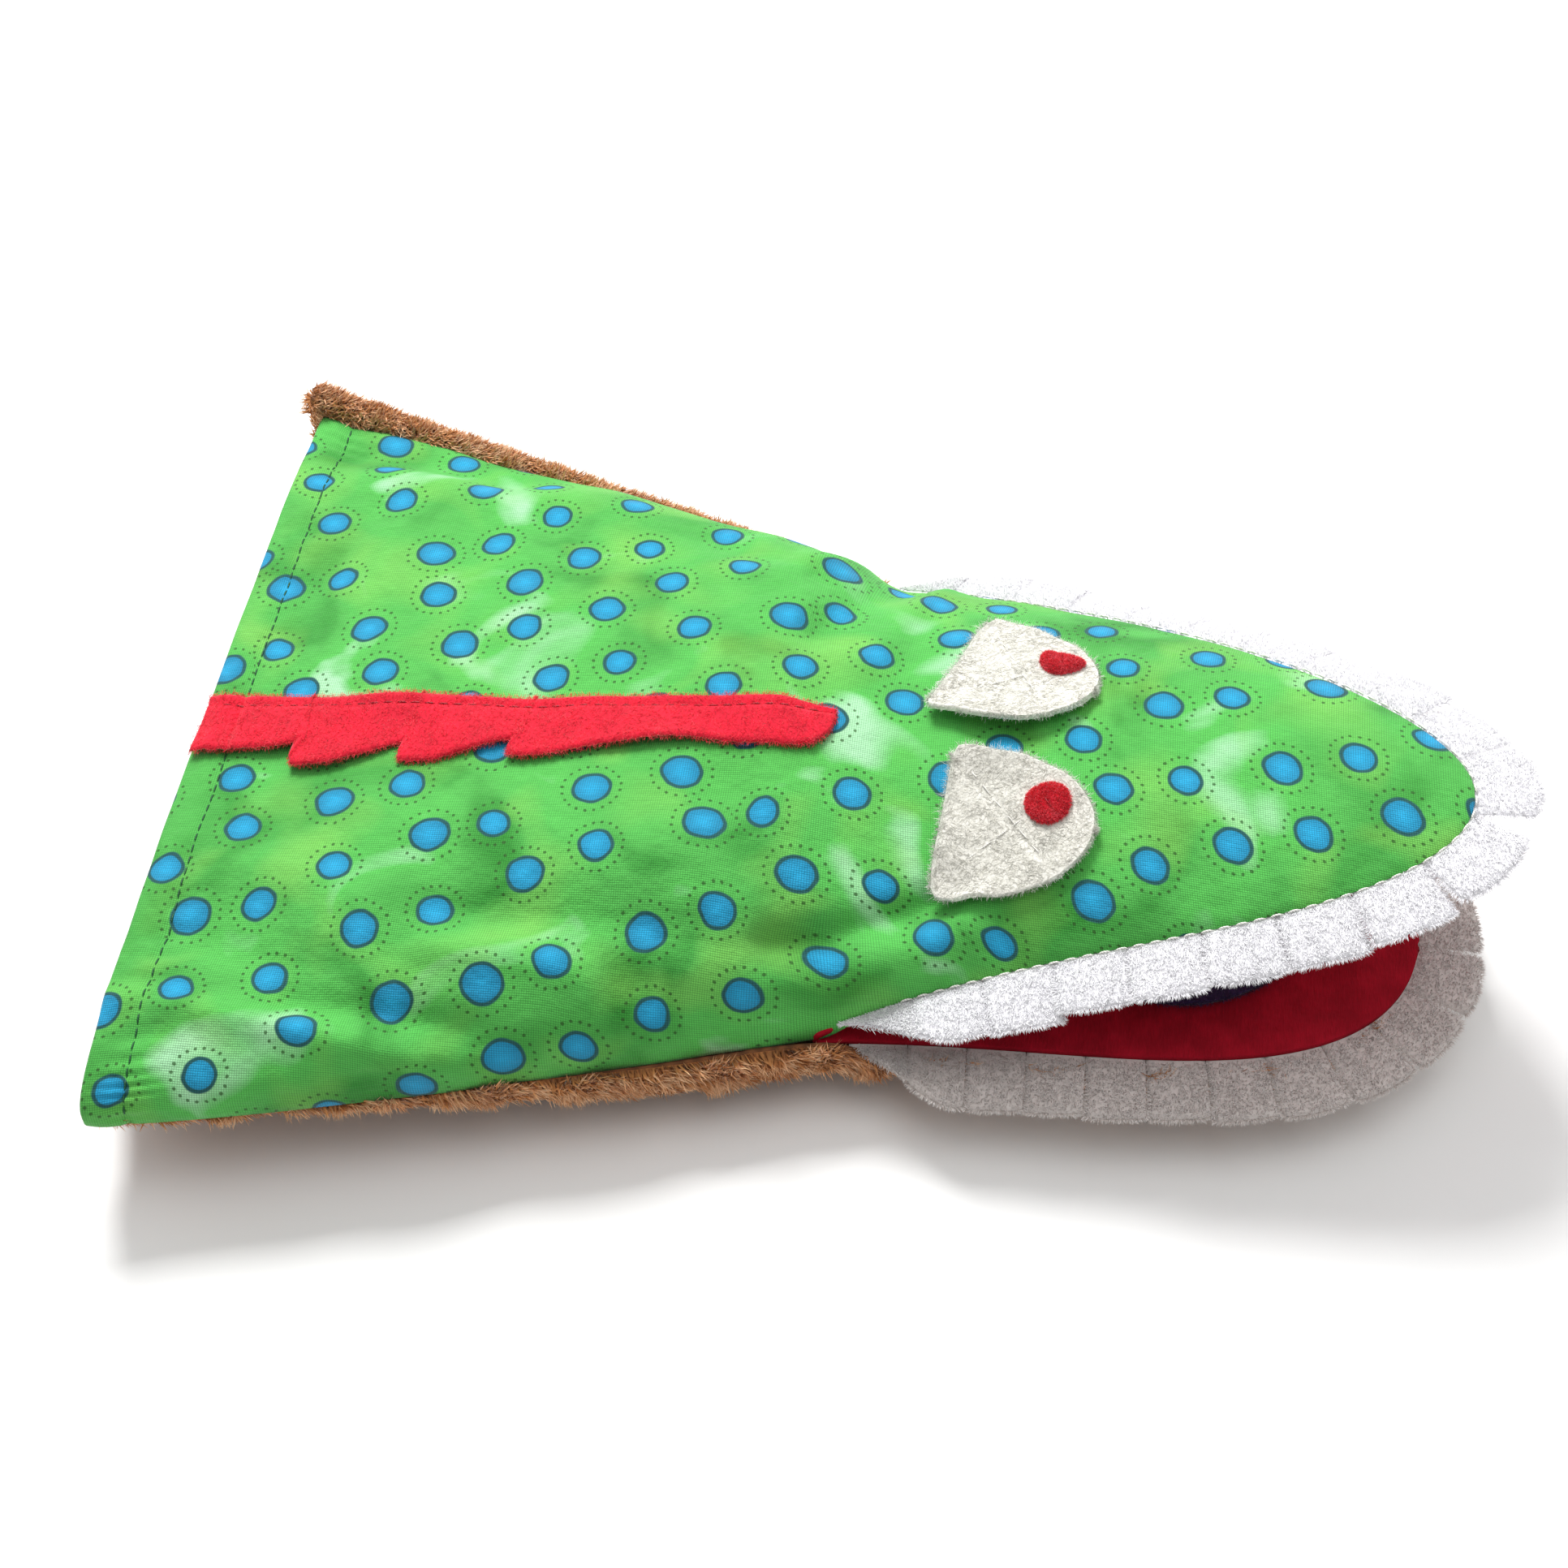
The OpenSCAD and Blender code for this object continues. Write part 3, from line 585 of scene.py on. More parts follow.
def tube(paths, radius):
    """Threads with six sides: each path gets a ring at every point, shrunk and closed at both ends."""
    m, k = paths.shape[:2]
    sides = 6
    along = unit(np.gradient(paths, axis=1))
    ref = np.where(np.abs(along[..., 2:3]) > 0.9, [1.0, 0, 0], [0, 0, 1.0])
    e1 = unit(np.cross(along, ref))
    e2 = np.cross(along, e1)
    a = np.linspace(0, 2 * np.pi, sides, endpoint=False)[None, None, :, None]
    r = radius * np.where((np.arange(k) == 0) | (np.arange(k) == k - 1), 0.35, 1.0)
    spoke = np.cos(a) * e1[:, :, None] + np.sin(a) * e2[:, :, None]
    ring = paths[:, :, None] + r[None, :, None, None] * spoke
    i, j = np.meshgrid(np.arange(k - 1), np.arange(sides), indexing="ij")
    beside = (j + 1) % sides
    q = np.stack([i * sides + j, i * sides + beside, (i + 1) * sides + beside, (i + 1) * sides + j], -1)
    lid = np.array([[0, 1, 2, 3], [0, 3, 4, 5]])
    body = np.concatenate([q.reshape(-1, 4), lid[:, ::-1], lid + (k - 1) * sides])
    faces = (np.arange(m)[:, None, None] * (k * sides) + body[None]).reshape(-1, 4)
    points = ring.reshape(-1, 3)
    if signed_volume(points, faces) < 0:
        faces = faces[:, ::-1]
    tone = np.repeat(np.arange(m) * 0.37 % 1, k * sides)
    uv = np.stack([tone, np.tile(np.repeat(np.linspace(0, 1, k), sides), m)], 1)
    return points, faces, uv


def stitches(line, normal, pitch, long, radius, rise=0.12):
    """A row of stitches: arcs of thread along a line, each dipping into the cloth at both ends."""
    step = np.linalg.norm(np.diff(line, axis=0), axis=1)
    s = np.concatenate([[0], np.cumsum(step)])
    count = max(1, int(s[-1] / pitch))
    start = (np.arange(count) + 0.5) * s[-1] / count - long / 2
    at = start[:, None] + np.linspace(0, long, 5)[None]
    p = np.stack([np.interp(at, s, line[:, c]) for c in range(3)], -1)
    n = unit(np.stack([np.interp(at, s, normal[:, c]) for c in range(3)], -1))
    lift = np.array([-0.25, 0.7, 1.0, 0.7, -0.25]) * (radius + rise)
    return tube(p + n * lift[None, :, None], radius)


# Materials


def put(tree, kind, sockets=None, stops=(), **settings):
    """Adds a node, sets its settings, and sets or links its sockets: a node stands for its first output. stops
    are a colour ramp's places and colours."""
    node = tree.nodes.new(kind)
    for key, value in settings.items():
        setattr(node, key, value)
    for key, value in (sockets or {}).items():
        if isinstance(value, bpy.types.Node):
            value = value.outputs[0]
        if isinstance(value, bpy.types.NodeSocket):
            tree.links.new(value, node.inputs[key])
        else:
            node.inputs[key].default_value = value
    for k, (place, col) in enumerate(stops):
        elements = node.color_ramp.elements
        stop = elements[k] if k < 2 else elements.new(place)
        stop.position, stop.color = place, col
    return node


def fresh(name):
    """A new material's tree, with its surface shader and the two coordinates that the patterns use."""
    old = bpy.data.materials.get(name)
    if old:
        bpy.data.materials.remove(old)
    mat = bpy.data.materials.new(name)
    mat.use_nodes = True
    tree = mat.node_tree
    shader = tree.nodes["Principled BSDF"]
    where = tree.nodes.new("ShaderNodeTexCoord")
    return mat, tree, shader, where.outputs["UV"], where.outputs["Object"]


def tint(prop):
    """A colour of the panel."""
    return (*getattr(bpy.context.scene.puppet_colours, prop), 1.0)


def shade(col, k):
    """A colour made darker or lighter."""
    return (*[min(1.0, c * k) for c in col[:3]], 1.0)


def weave(tree, uv, pitch):
    """Plain weave of that pitch in millimetres: in each square one yarn passes over, in the next the other one.
    The yarn's profile is a half sine across it, and a flatter half sine along it."""
    scaled = put(tree, "ShaderNodeVectorMath", {0: uv, "Scale": 1 / pitch}, operation="SCALE")
    split = put(tree, "ShaderNodeSeparateXYZ", {0: scaled})
    waves = []
    for c in (0, 1):
        turn = put(tree, "ShaderNodeMath", {0: split.outputs[c], 1: math.pi}, operation="MULTIPLY")
        sine = put(tree, "ShaderNodeMath", {0: turn}, operation="SINE")
        waves.append(put(tree, "ShaderNodeMath", {0: sine}, operation="ABSOLUTE"))
    cells = [put(tree, "ShaderNodeMath", {0: split.outputs[c]}, operation="FLOOR") for c in (0, 1)]
    total = put(tree, "ShaderNodeMath", {0: cells[0], 1: cells[1]}, operation="ADD")
    odd = put(tree, "ShaderNodeMath", {0: total, 1: 2.0}, operation="FLOORED_MODULO")
    yarns = []
    for a, b in ((0, 1), (1, 0)):
        low = put(tree, "ShaderNodeMath", {0: waves[a], 1: 0.9}, operation="POWER")
        flat = put(tree, "ShaderNodeMath", {0: waves[b], 1: 0.35}, operation="POWER")
        yarns.append(put(tree, "ShaderNodeMath", {0: low, 1: flat}, operation="MULTIPLY"))
    return put(tree, "ShaderNodeMix", {"Factor": odd, "A": yarns[0], "B": yarns[1]})


def printed_cotton(name, faded=0.0):
    """Quilting cotton, 0.42 mm plain weave, dyed in soft clouds and printed with dots: matt, crisp and thin.
    The dots are 6 to 7.5 mm wide, on a jittered lattice 15.5 mm apart, with a dark line 0.5 mm wide. The cloth
    coordinates are in millimetres, so a pattern's scale is 1 over its size in millimetres."""
    mat, tree, shader, uv, _ = fresh(name)
    wobble = put(tree, "ShaderNodeTexNoise", {"Vector": uv, "Scale": 0.22, "Detail": 1.0})
    half = (0.5, 0.5, 0.5)
    centred = put(tree, "ShaderNodeVectorMath", {0: wobble.outputs["Color"], 1: half}, operation="SUBTRACT")
    pull = put(tree, "ShaderNodeVectorMath", {0: centred, "Scale": 1.0}, operation="SCALE")
    place = put(tree, "ShaderNodeVectorMath", {0: uv, 1: pull}, operation="ADD")
    shift, slant = (3.0, 5.0, 0), (0, 0, 0.42)
    turned = put(tree, "ShaderNodeMapping", {"Vector": place, "Location": shift, "Rotation": slant})
    flat = put(tree, "ShaderNodeVectorMath", {0: turned, 1: (1, 1, 0)}, operation="MULTIPLY")
    lattice = {"Vector": flat, "Scale": 1 / 15.5, "Randomness": 0.34}
    cell = put(tree, "ShaderNodeTexVoronoi", lattice, voronoi_dimensions="2D")
    local = put(tree, "ShaderNodeVectorMath", {0: flat, 1: cell.outputs["Position"]}, operation="SUBTRACT")
    reach = put(tree, "ShaderNodeVectorMath", {0: local}, operation="LENGTH").outputs["Value"]
    lot = put(tree, "ShaderNodeSeparateColor", {0: cell.outputs["Color"]})
    radius = put(tree, "ShaderNodeMapRange", {"Value": lot.outputs[0], "To Min": 2.9, "To Max": 3.75})
    edge = put(tree, "ShaderNodeMath", {0: reach, 1: radius}, operation="SUBTRACT")
    # from 1 inside the blue to 0 outside it, and the same for the disc with its dark line
    inner = {"Value": edge, "From Min": -0.55, "From Max": -0.25, "To Min": 1.0, "To Max": 0.0}
    inside = put(tree, "ShaderNodeMapRange", inner, interpolation_type="SMOOTHSTEP")
    outer = {"Value": edge, "From Min": 0.1, "From Max": 0.5, "To Min": 1.0, "To Max": 0.0}
    disc = put(tree, "ShaderNodeMapRange", outer, interpolation_type="SMOOTHSTEP")
    # ring of 20 specks 0.6 mm wide, 2 mm outside the dot
    xy = put(tree, "ShaderNodeSeparateXYZ", {0: local})
    angle = put(tree, "ShaderNodeMath", {0: xy.outputs[1], 1: xy.outputs[0]}, operation="ARCTAN2")
    parts = put(tree, "ShaderNodeMath", {0: angle, 1: 20 / (2 * math.pi)}, operation="MULTIPLY")
    odd = put(tree, "ShaderNodeMath", {0: parts, 1: 1.0}, operation="FLOORED_MODULO")
    off = put(tree, "ShaderNodeMath", {0: odd, 1: 0.5}, operation="SUBTRACT")
    ring = put(tree, "ShaderNodeMath", {0: radius, 1: 2.0}, operation="ADD")
    arc = put(tree, "ShaderNodeMath", {0: off, 1: ring}, operation="MULTIPLY")
    arc = put(tree, "ShaderNodeMath", {0: arc, 1: 2 * math.pi / 20}, operation="MULTIPLY")
    out = put(tree, "ShaderNodeMath", {0: reach, 1: ring}, operation="SUBTRACT")
    far = put(tree, "ShaderNodeCombineXYZ", {0: arc, 1: out})
    away = put(tree, "ShaderNodeVectorMath", {0: far}, operation="LENGTH").outputs["Value"]
    fade = {"Value": away, "From Min": 0.22, "From Max": 0.42, "To Min": 0.8, "To Max": 0.0}
    speck = put(tree, "ShaderNodeMapRange", fade, interpolation_type="SMOOTHSTEP")
    # clouds of dye 26 mm across, with 19 mm patches of yellowish green over them
    soft = {"Vector": uv, "Scale": 1 / 26, "Detail": 2.5, "Roughness": 0.5, "Distortion": 0.8}
    cloud = put(tree, "ShaderNodeTexNoise", soft)
    leaf = tint("leaf")
    greens = [(0.3, tint("moss")), (0.72, tint("mint")), (0.46, leaf), (0.6, shade(leaf, 1.15))]
    ground = put(tree, "ShaderNodeValToRGB", {0: cloud}, greens)
    soft = {"Vector": turned, "Scale": 1 / 19, "Detail": 1.0, "Distortion": 0.5}
    patch = put(tree, "ShaderNodeTexNoise", soft)
    most = {"Value": patch, "From Min": 0.5, "From Max": 0.74, "To Max": 0.5}
    yellow = put(tree, "ShaderNodeMapRange", most)
    ground = put(tree, "ShaderNodeMixRGB", {0: yellow, 1: ground, 2: tint("lime")})
    # the dot is deeper towards its edge
    darker = {"Value": reach, "From Min": 0.5, "From Max": 3.4, "To Min": 1.0, "To Max": 0.62}
    inner = put(tree, "ShaderNodeMapRange", darker)
    blue = put(tree, "ShaderNodeMixRGB", {0: 1.0, 1: tint("dot"), 2: inner}, blend_type="MULTIPLY")
    col = put(tree, "ShaderNodeMixRGB", {0: speck, 1: ground, 2: hex_linear("#27531A")})
    col = put(tree, "ShaderNodeMixRGB", {0: disc, 1: col, 2: tint("dot_edge")})
    col = put(tree, "ShaderNodeMixRGB", {0: inside, 1: col, 2: blue})
    # gaps between the yarns are darker, and yarns differ in tone along their length
    cloth = weave(tree, uv, 0.42)
    hole = put(tree, "ShaderNodeMapRange", {"Value": cloth, "From Max": 0.75, "To Min": 0.52, "To Max": 1.1})
    stretch = put(tree, "ShaderNodeMapping", {"Vector": uv, "Scale": (0.25, 3.2, 1.0)})
    slub = put(tree, "ShaderNodeTexNoise", {"Vector": stretch, "Scale": 1.0, "Detail": 2.0})
    tone = {"Value": slub, "From Min": 0.3, "From Max": 0.7, "To Min": 0.93, "To Max": 1.06}
    yarn = put(tree, "ShaderNodeMapRange", tone)
    col = put(tree, "ShaderNodeMixRGB", {0: 1.0, 1: col, 2: hole}, blend_type="MULTIPLY")
    col = put(tree, "ShaderNodeMixRGB", {0: 1.0, 1: col, 2: yarn}, blend_type="MULTIPLY")
    if faded:
        col = put(tree, "ShaderNodeMixRGB", {0: faded, 1: col, 2: hex_linear("#CFE3C2")})
    tree.links.new(col.outputs[0], shader.inputs["Base Color"])
    crumple = put(tree, "ShaderNodeTexNoise", {"Vector": uv, "Scale": 0.28, "Detail": 3.0, "Roughness": 0.55})
    broad = put(tree, "ShaderNodeBump", {"Height": crumple, "Strength": 0.55, "Distance": 0.0011})
    threads = {"Height": cloth, "Strength": 0.5, "Distance": 0.00012, "Normal": broad}
    fine = put(tree, "ShaderNodeBump", threads)
    tree.links.new(fine.outputs[0], shader.inputs["Normal"])
    shader.inputs["Roughness"].default_value = 0.78
    shader.inputs["Specular IOR Level"].default_value = 0.25
    shader.inputs["Sheen Weight"].default_value = 0.12
    return mat


def plush(name, root, middle, tip, rough=0.75, uneven=1.0):
    """Pile of plush or felt fuzz: each hair runs from a dark root to a pale tip, and no two are quite alike.
    Locks about 4 mm across differ in tone, which gives the eye a deep, soft and slightly ruffled surface."""
    mat, tree, shader, uv, place = fresh(name)
    part = put(tree, "ShaderNodeSeparateXYZ", {0: uv})
    lock = put(tree, "ShaderNodeTexNoise", {"Vector": place, "Scale": 260.0, "Detail": 2.0})
    most = 0.28 * uneven
    spread = {"Value": lock, "From Min": 0.3, "From Max": 0.7, "To Min": -most, "To Max": most}
    drift = put(tree, "ShaderNodeMapRange", spread)
    at = put(tree, "ShaderNodeMath", {0: part.outputs[1], 1: drift}, operation="ADD")
    col = put(tree, "ShaderNodeValToRGB", {0: at}, [(0.05, root), (0.98, tip), (0.5, middle)])
    low, high = 1 - 0.22 * uneven, 1 + 0.16 * uneven
    tone = put(tree, "ShaderNodeMapRange", {"Value": part.outputs[0], "To Min": low, "To Max": high})
    col = put(tree, "ShaderNodeMixRGB", {0: 1.0, 1: col, 2: tone}, blend_type="MULTIPLY")
    tree.links.new(col.outputs[0], shader.inputs["Base Color"])
    shader.inputs["Roughness"].default_value = rough
    shader.inputs["Specular IOR Level"].default_value = 0.3
    shader.inputs["Sheen Weight"].default_value = 0.3
    shader.inputs["Sheen Roughness"].default_value = 0.4
    return mat


def felt(name, base, dark=0.72, light=1.14, grain=900.0, fleck=None, sheen=0.25, relief=1.0):
    """Pressed craft felt: matted fibres three ways, a fraction of a millimetre wide, and blotches of 5 to 8 mm.
    It gives the eye a dry, quite matt cloth without a weave. dark and light are the ends of its tone."""
    mat, tree, shader, _, place = fresh(name)
    heights = []
    for k, turn in enumerate(((0, 0, 0.4), (0, 0, 1.5), (0, 0, 2.6))):
        lay = put(tree, "ShaderNodeMapping", {"Vector": place, "Rotation": turn, "Scale": (1.0, 0.14, 1.0)})
        heights.append(
            put(tree, "ShaderNodeTexNoise", {"Vector": lay, "Scale": grain * (3.0 + 0.6 * k), "Detail": 3.0})
        )
    mat_of = put(tree, "ShaderNodeMath", {0: heights[0], 1: heights[1]}, operation="MAXIMUM")
    mat_of = put(tree, "ShaderNodeMath", {0: mat_of, 1: heights[2]}, operation="MAXIMUM")
    blotch = put(tree, "ShaderNodeTexNoise", {"Vector": place, "Scale": grain / 5, "Detail": 3.0})
    both = put(tree, "ShaderNodeMath", {0: mat_of, 1: blotch}, operation="ADD")
    span = {"Value": both, "From Min": 0.9, "From Max": 1.3, "To Min": dark, "To Max": light}
    tone = put(tree, "ShaderNodeMapRange", span)
    col = put(tree, "ShaderNodeMixRGB", {0: 1.0, 1: base, 2: tone}, blend_type="MULTIPLY")
    if fleck:
        pale = {"Value": heights[1], "From Min": 0.6, "From Max": 0.74, "To Max": 0.7}
        fibre = put(tree, "ShaderNodeMapRange", pale)
        col = put(tree, "ShaderNodeMixRGB", {0: fibre, 1: col, 2: fleck})
    tree.links.new(col.outputs[0], shader.inputs["Base Color"])
    bump = put(tree, "ShaderNodeBump", {"Height": mat_of, "Strength": 0.6 * relief, "Distance": 0.0003})
    waves = {"Height": blotch, "Strength": 0.4 * relief, "Distance": 0.0006, "Normal": bump}
    soft = put(tree, "ShaderNodeBump", waves)
    tree.links.new(soft.outputs[0], shader.inputs["Normal"])
    shader.inputs["Roughness"].default_value = 0.92
    shader.inputs["Specular IOR Level"].default_value = 0.15
    shader.inputs["Sheen Weight"].default_value = sheen
    return mat


def thread(name, base):
    """Twisted sewing thread: a slight sheen, with the slanted lines of its two plies."""
    mat, tree, shader, _, place = fresh(name)
    plies = {"Vector": place, "Scale": 900.0, "Distortion": 0.6}
    twist = put(tree, "ShaderNodeTexWave", plies, bands_direction="DIAGONAL")
    tone = put(tree, "ShaderNodeMapRange", {"Value": twist.outputs["Fac"], "To Min": 0.7, "To Max": 1.12})
    col = put(tree, "ShaderNodeMixRGB", {0: 1.0, 1: base, 2: tone}, blend_type="MULTIPLY")
    tree.links.new(col.outputs[0], shader.inputs["Base Color"])
    bump = put(tree, "ShaderNodeBump", {"Height": twist.outputs["Fac"], "Strength": 0.4, "Distance": 0.0001})
    tree.links.new(bump.outputs[0], shader.inputs["Normal"])
    shader.inputs["Roughness"].default_value = 0.55
    return mat


def knit_backing(name, base):
    """Knitted back of the plush: fine ribs 0.9 mm apart, dull and slightly uneven."""
    mat, tree, shader, uv, place = fresh(name)
    ribs = {"Vector": uv, "Scale": 0.35, "Distortion": 1.2, "Detail": 2.0}
    rib = put(tree, "ShaderNodeTexWave", ribs, bands_direction="Y")
    spots = put(tree, "ShaderNodeTexNoise", {"Vector": place, "Scale": 700.0, "Detail": 3.0})
    both = put(tree, "ShaderNodeMath", {0: rib.outputs["Fac"], 1: spots}, operation="ADD")
    span = {"Value": both, "From Min": 0.3, "From Max": 1.6, "To Min": 0.6, "To Max": 1.2}
    tone = put(tree, "ShaderNodeMapRange", span)
    col = put(tree, "ShaderNodeMixRGB", {0: 1.0, 1: base, 2: tone}, blend_type="MULTIPLY")
    tree.links.new(col.outputs[0], shader.inputs["Base Color"])
    bump = put(tree, "ShaderNodeBump", {"Height": both, "Strength": 0.6, "Distance": 0.0003})
    tree.links.new(bump.outputs[0], shader.inputs["Normal"])
    shader.inputs["Roughness"].default_value = 0.9
    return mat


def greyboard(name):
    """Grey card: pressed paper pulp, matt, with flecks and a faint grain."""
    mat, tree, shader, _, place = fresh(name)
    fleck = put(tree, "ShaderNodeTexNoise", {"Vector": place, "Scale": 1500.0, "Detail": 4.0})
    lie = put(tree, "ShaderNodeMapping", {"Vector": place, "Scale": (1.0, 6.0, 1.0)})
    grain = put(tree, "ShaderNodeTexNoise", {"Vector": lie, "Scale": 300.0, "Detail": 3.0})
    both = put(tree, "ShaderNodeMath", {0: fleck, 1: grain}, operation="ADD")
    pulp = [(0.3, hex_linear("#7E776B")), (1.0, hex_linear("#BDB5A4"))]
    col = put(tree, "ShaderNodeValToRGB", {0: both}, pulp)
    tree.links.new(col.outputs[0], shader.inputs["Base Color"])
    bump = put(tree, "ShaderNodeBump", {"Height": both, "Strength": 0.3, "Distance": 0.0002})
    tree.links.new(bump.outputs[0], shader.inputs["Normal"])
    shader.inputs["Roughness"].default_value = 0.85
    return mat


MATERIALS = {
    # crisp quilting cotton, matt, with a weave that shows only close up, and its paler wrong side
    "printed cotton": lambda: printed_cotton("printed cotton"),
    "cotton wrong side": lambda: printed_cotton("cotton wrong side", 0.45),
    # plush with 4.6 mm pile: deep, soft and golden at the tips, over a darker ground and a dull knitted back
    "plush pile": lambda: plush("plush pile", tint("plush_root"), tint("plush"), tint("plush_tip")),
    "plush ground": lambda: felt("plush ground", shade(tint("plush"), 0.8), 0.7, 1.2),
    "knitted backing": lambda: knit_backing("knitted backing", hex_linear("#7A4A2A")),
    # craft felt 1.2 mm thick: dry and dense, with a paler cut edge and short stray fibres; the lining is a
    # darker copy, which paints in the shade inside the mouth
    "red felt": lambda: felt("red felt", tint("red"), 0.8, 1.1),
    "red lining felt in painted shade": lambda: felt("red lining felt in painted shade", shade(tint("red"), 0.6), 0.75, 1.1, sheen=0.0),
    "red felt cut edge": lambda: felt("red felt cut edge", hex_linear("#D87A68"), 0.6, 1.3),
    "red felt fuzz": lambda: plush("red felt fuzz", tint("red"), hex_linear("#EE2233"), hex_linear("#F4606E")),
    # thick off-white felt with loose fibres up to 2 mm long lying on it, which make it look hairy and worn
    "white felt": lambda: felt(
        "white felt", tint("eye"), 0.94, 1.03, 700.0, hex_linear("#CBC9BF"), relief=0.12
    ),
    "white felt fibres": lambda: plush(
        "white felt fibres", hex_linear("#A9A79E"), hex_linear("#DAD8CE"), hex_linear("#FFFFFA"), 0.6
    ),
    # white fleece with 1 mm pile: bright and velvety above; on the lower jaw a greyer, warmer copy that paints
    # in the shade the upper jaw casts there
    "white fleece": lambda: felt("white fleece", tint("white"), 0.98, 1.01, 600.0, relief=0.06),
    "white pile": lambda: plush(
        "white pile", shade(tint("white"), 0.96), tint("white"), hex_linear("#FFFFFF"), 0.7, 0.3
    ),
    "shade-painted white fleece": lambda: felt(
        "shade-painted white fleece", hex_linear("#DDD5D1"), 0.97, 1.02, 600.0, relief=0.06
    ),
    "shade-painted white pile": lambda: plush(
        "shade-painted white pile", hex_linear("#C9BFBA"), hex_linear("#DED7D3"), hex_linear("#EFEAE8"), 0.7, 0.4
    ),
    # dark felt whose fuzz catches the light and keeps it from looking black
    "purple felt": lambda: felt("purple felt", tint("purple"), 0.6, 1.5),
    "purple fuzz": lambda: plush("purple fuzz", tint("purple"), tint("purple"), hex_linear("#5A4474")),
    # sewing threads 0.2 to 0.5 mm thick, a little smoother than the cloth
    "green thread": lambda: thread("green thread", hex_linear("#12552F")),
    "brown thread": lambda: thread("brown thread", hex_linear("#4E2C16")),
    "red thread": lambda: thread("red thread", hex_linear("#A50F22")),
    "white thread": lambda: thread("white thread", hex_linear("#ECEAE4")),
    "purple thread": lambda: thread("purple thread", hex_linear("#24163A")),
    # pressed pulp board, matt and flecked, seen only from inside the wrist opening
    "grey card": lambda: greyboard("grey card"),
}


def material(name):
    """The named finish, made when it is first asked for."""
    return bpy.data.materials.get(name) or MATERIALS[name]()


def row_point(s, x, y, z):
    """A point in millimetres of the shapes' frame as metres in the row's frame."""
    return ((x - s.origin_x) * MM, y * MM, z * MM)


def bend_upper(s, obj):
    """Bakes the piece's place into its mesh. The ends of a band in front of the crest, between the sleeve and
    the upper jaw, are worked out but not used.
    """
    back, front = (row_point(s, s.sleeve_len + x, 0, s.hinge_z) for x in (-2, 18))
    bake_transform(obj)
    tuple(back)
    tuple(front)


def bend_lower(s, obj):
    """Bakes the piece's place into its mesh. The ends of a band under the hinge, between the sleeve and the
    lower jaw, are worked out but not used.
    """
    back, front = (row_point(s, s.sleeve_len + x, 0, s.hinge_z) for x in (-8, 12))
    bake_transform(obj)
    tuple(back)
    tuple(front)


def cotton_lift(s, p, r, a):
    """Height of the cotton over its plain shape: creases, the hem's stitched groove, its lip and puckers."""
    groove = -0.4 * np.exp(-(((r - s.hem_stitch_x) / 0.7) ** 2))
    lip = 0.4 * np.exp(-(((r - 3.5) / 3.0) ** 2))
    pucker = 0.22 * np.sin(a * 58 + 2 * np.sin(a * 9)) * np.exp(-(((r - s.hem_stitch_x) / 4.5) ** 2))
    return crease_height(s, p, r, a) * mix(0.5, 1.0, ease(r / 14)) + groove + lip + pucker


def cotton_grid(s, r, a, inset=0.0):
    """The panel's grid with its creases, moved inwards by inset."""
    p = cotton_point(s, r, a)
    n = normals_up(p, p.shape[0] // 2, p.shape[1] // 2)
    return p + n * (cotton_lift(s, p, r, a) - inset)[..., None], n


def cotton_top(s, x, y):
    """Height of the cotton's face over a place near the middle line. The row comes from a table of distances
    along the panel, and the column from the superellipse solved for its angle."""
    table = np.linspace(0, s.sleeve_len + 40, 500)
    r = np.interp(x, cotton_point(s, table, np.full_like(table, np.pi / 2))[:, 0], table)
    n = mix(3.4, 2.3, share(s, x))
    a = np.arccos(np.clip(spow(y / sleeve_w(s, x), n / 2), -0.9, 0.9))
    p = cotton_point(s, r, a)
    return p[..., 2] + cotton_lift(s, p, r, a)


# Operators


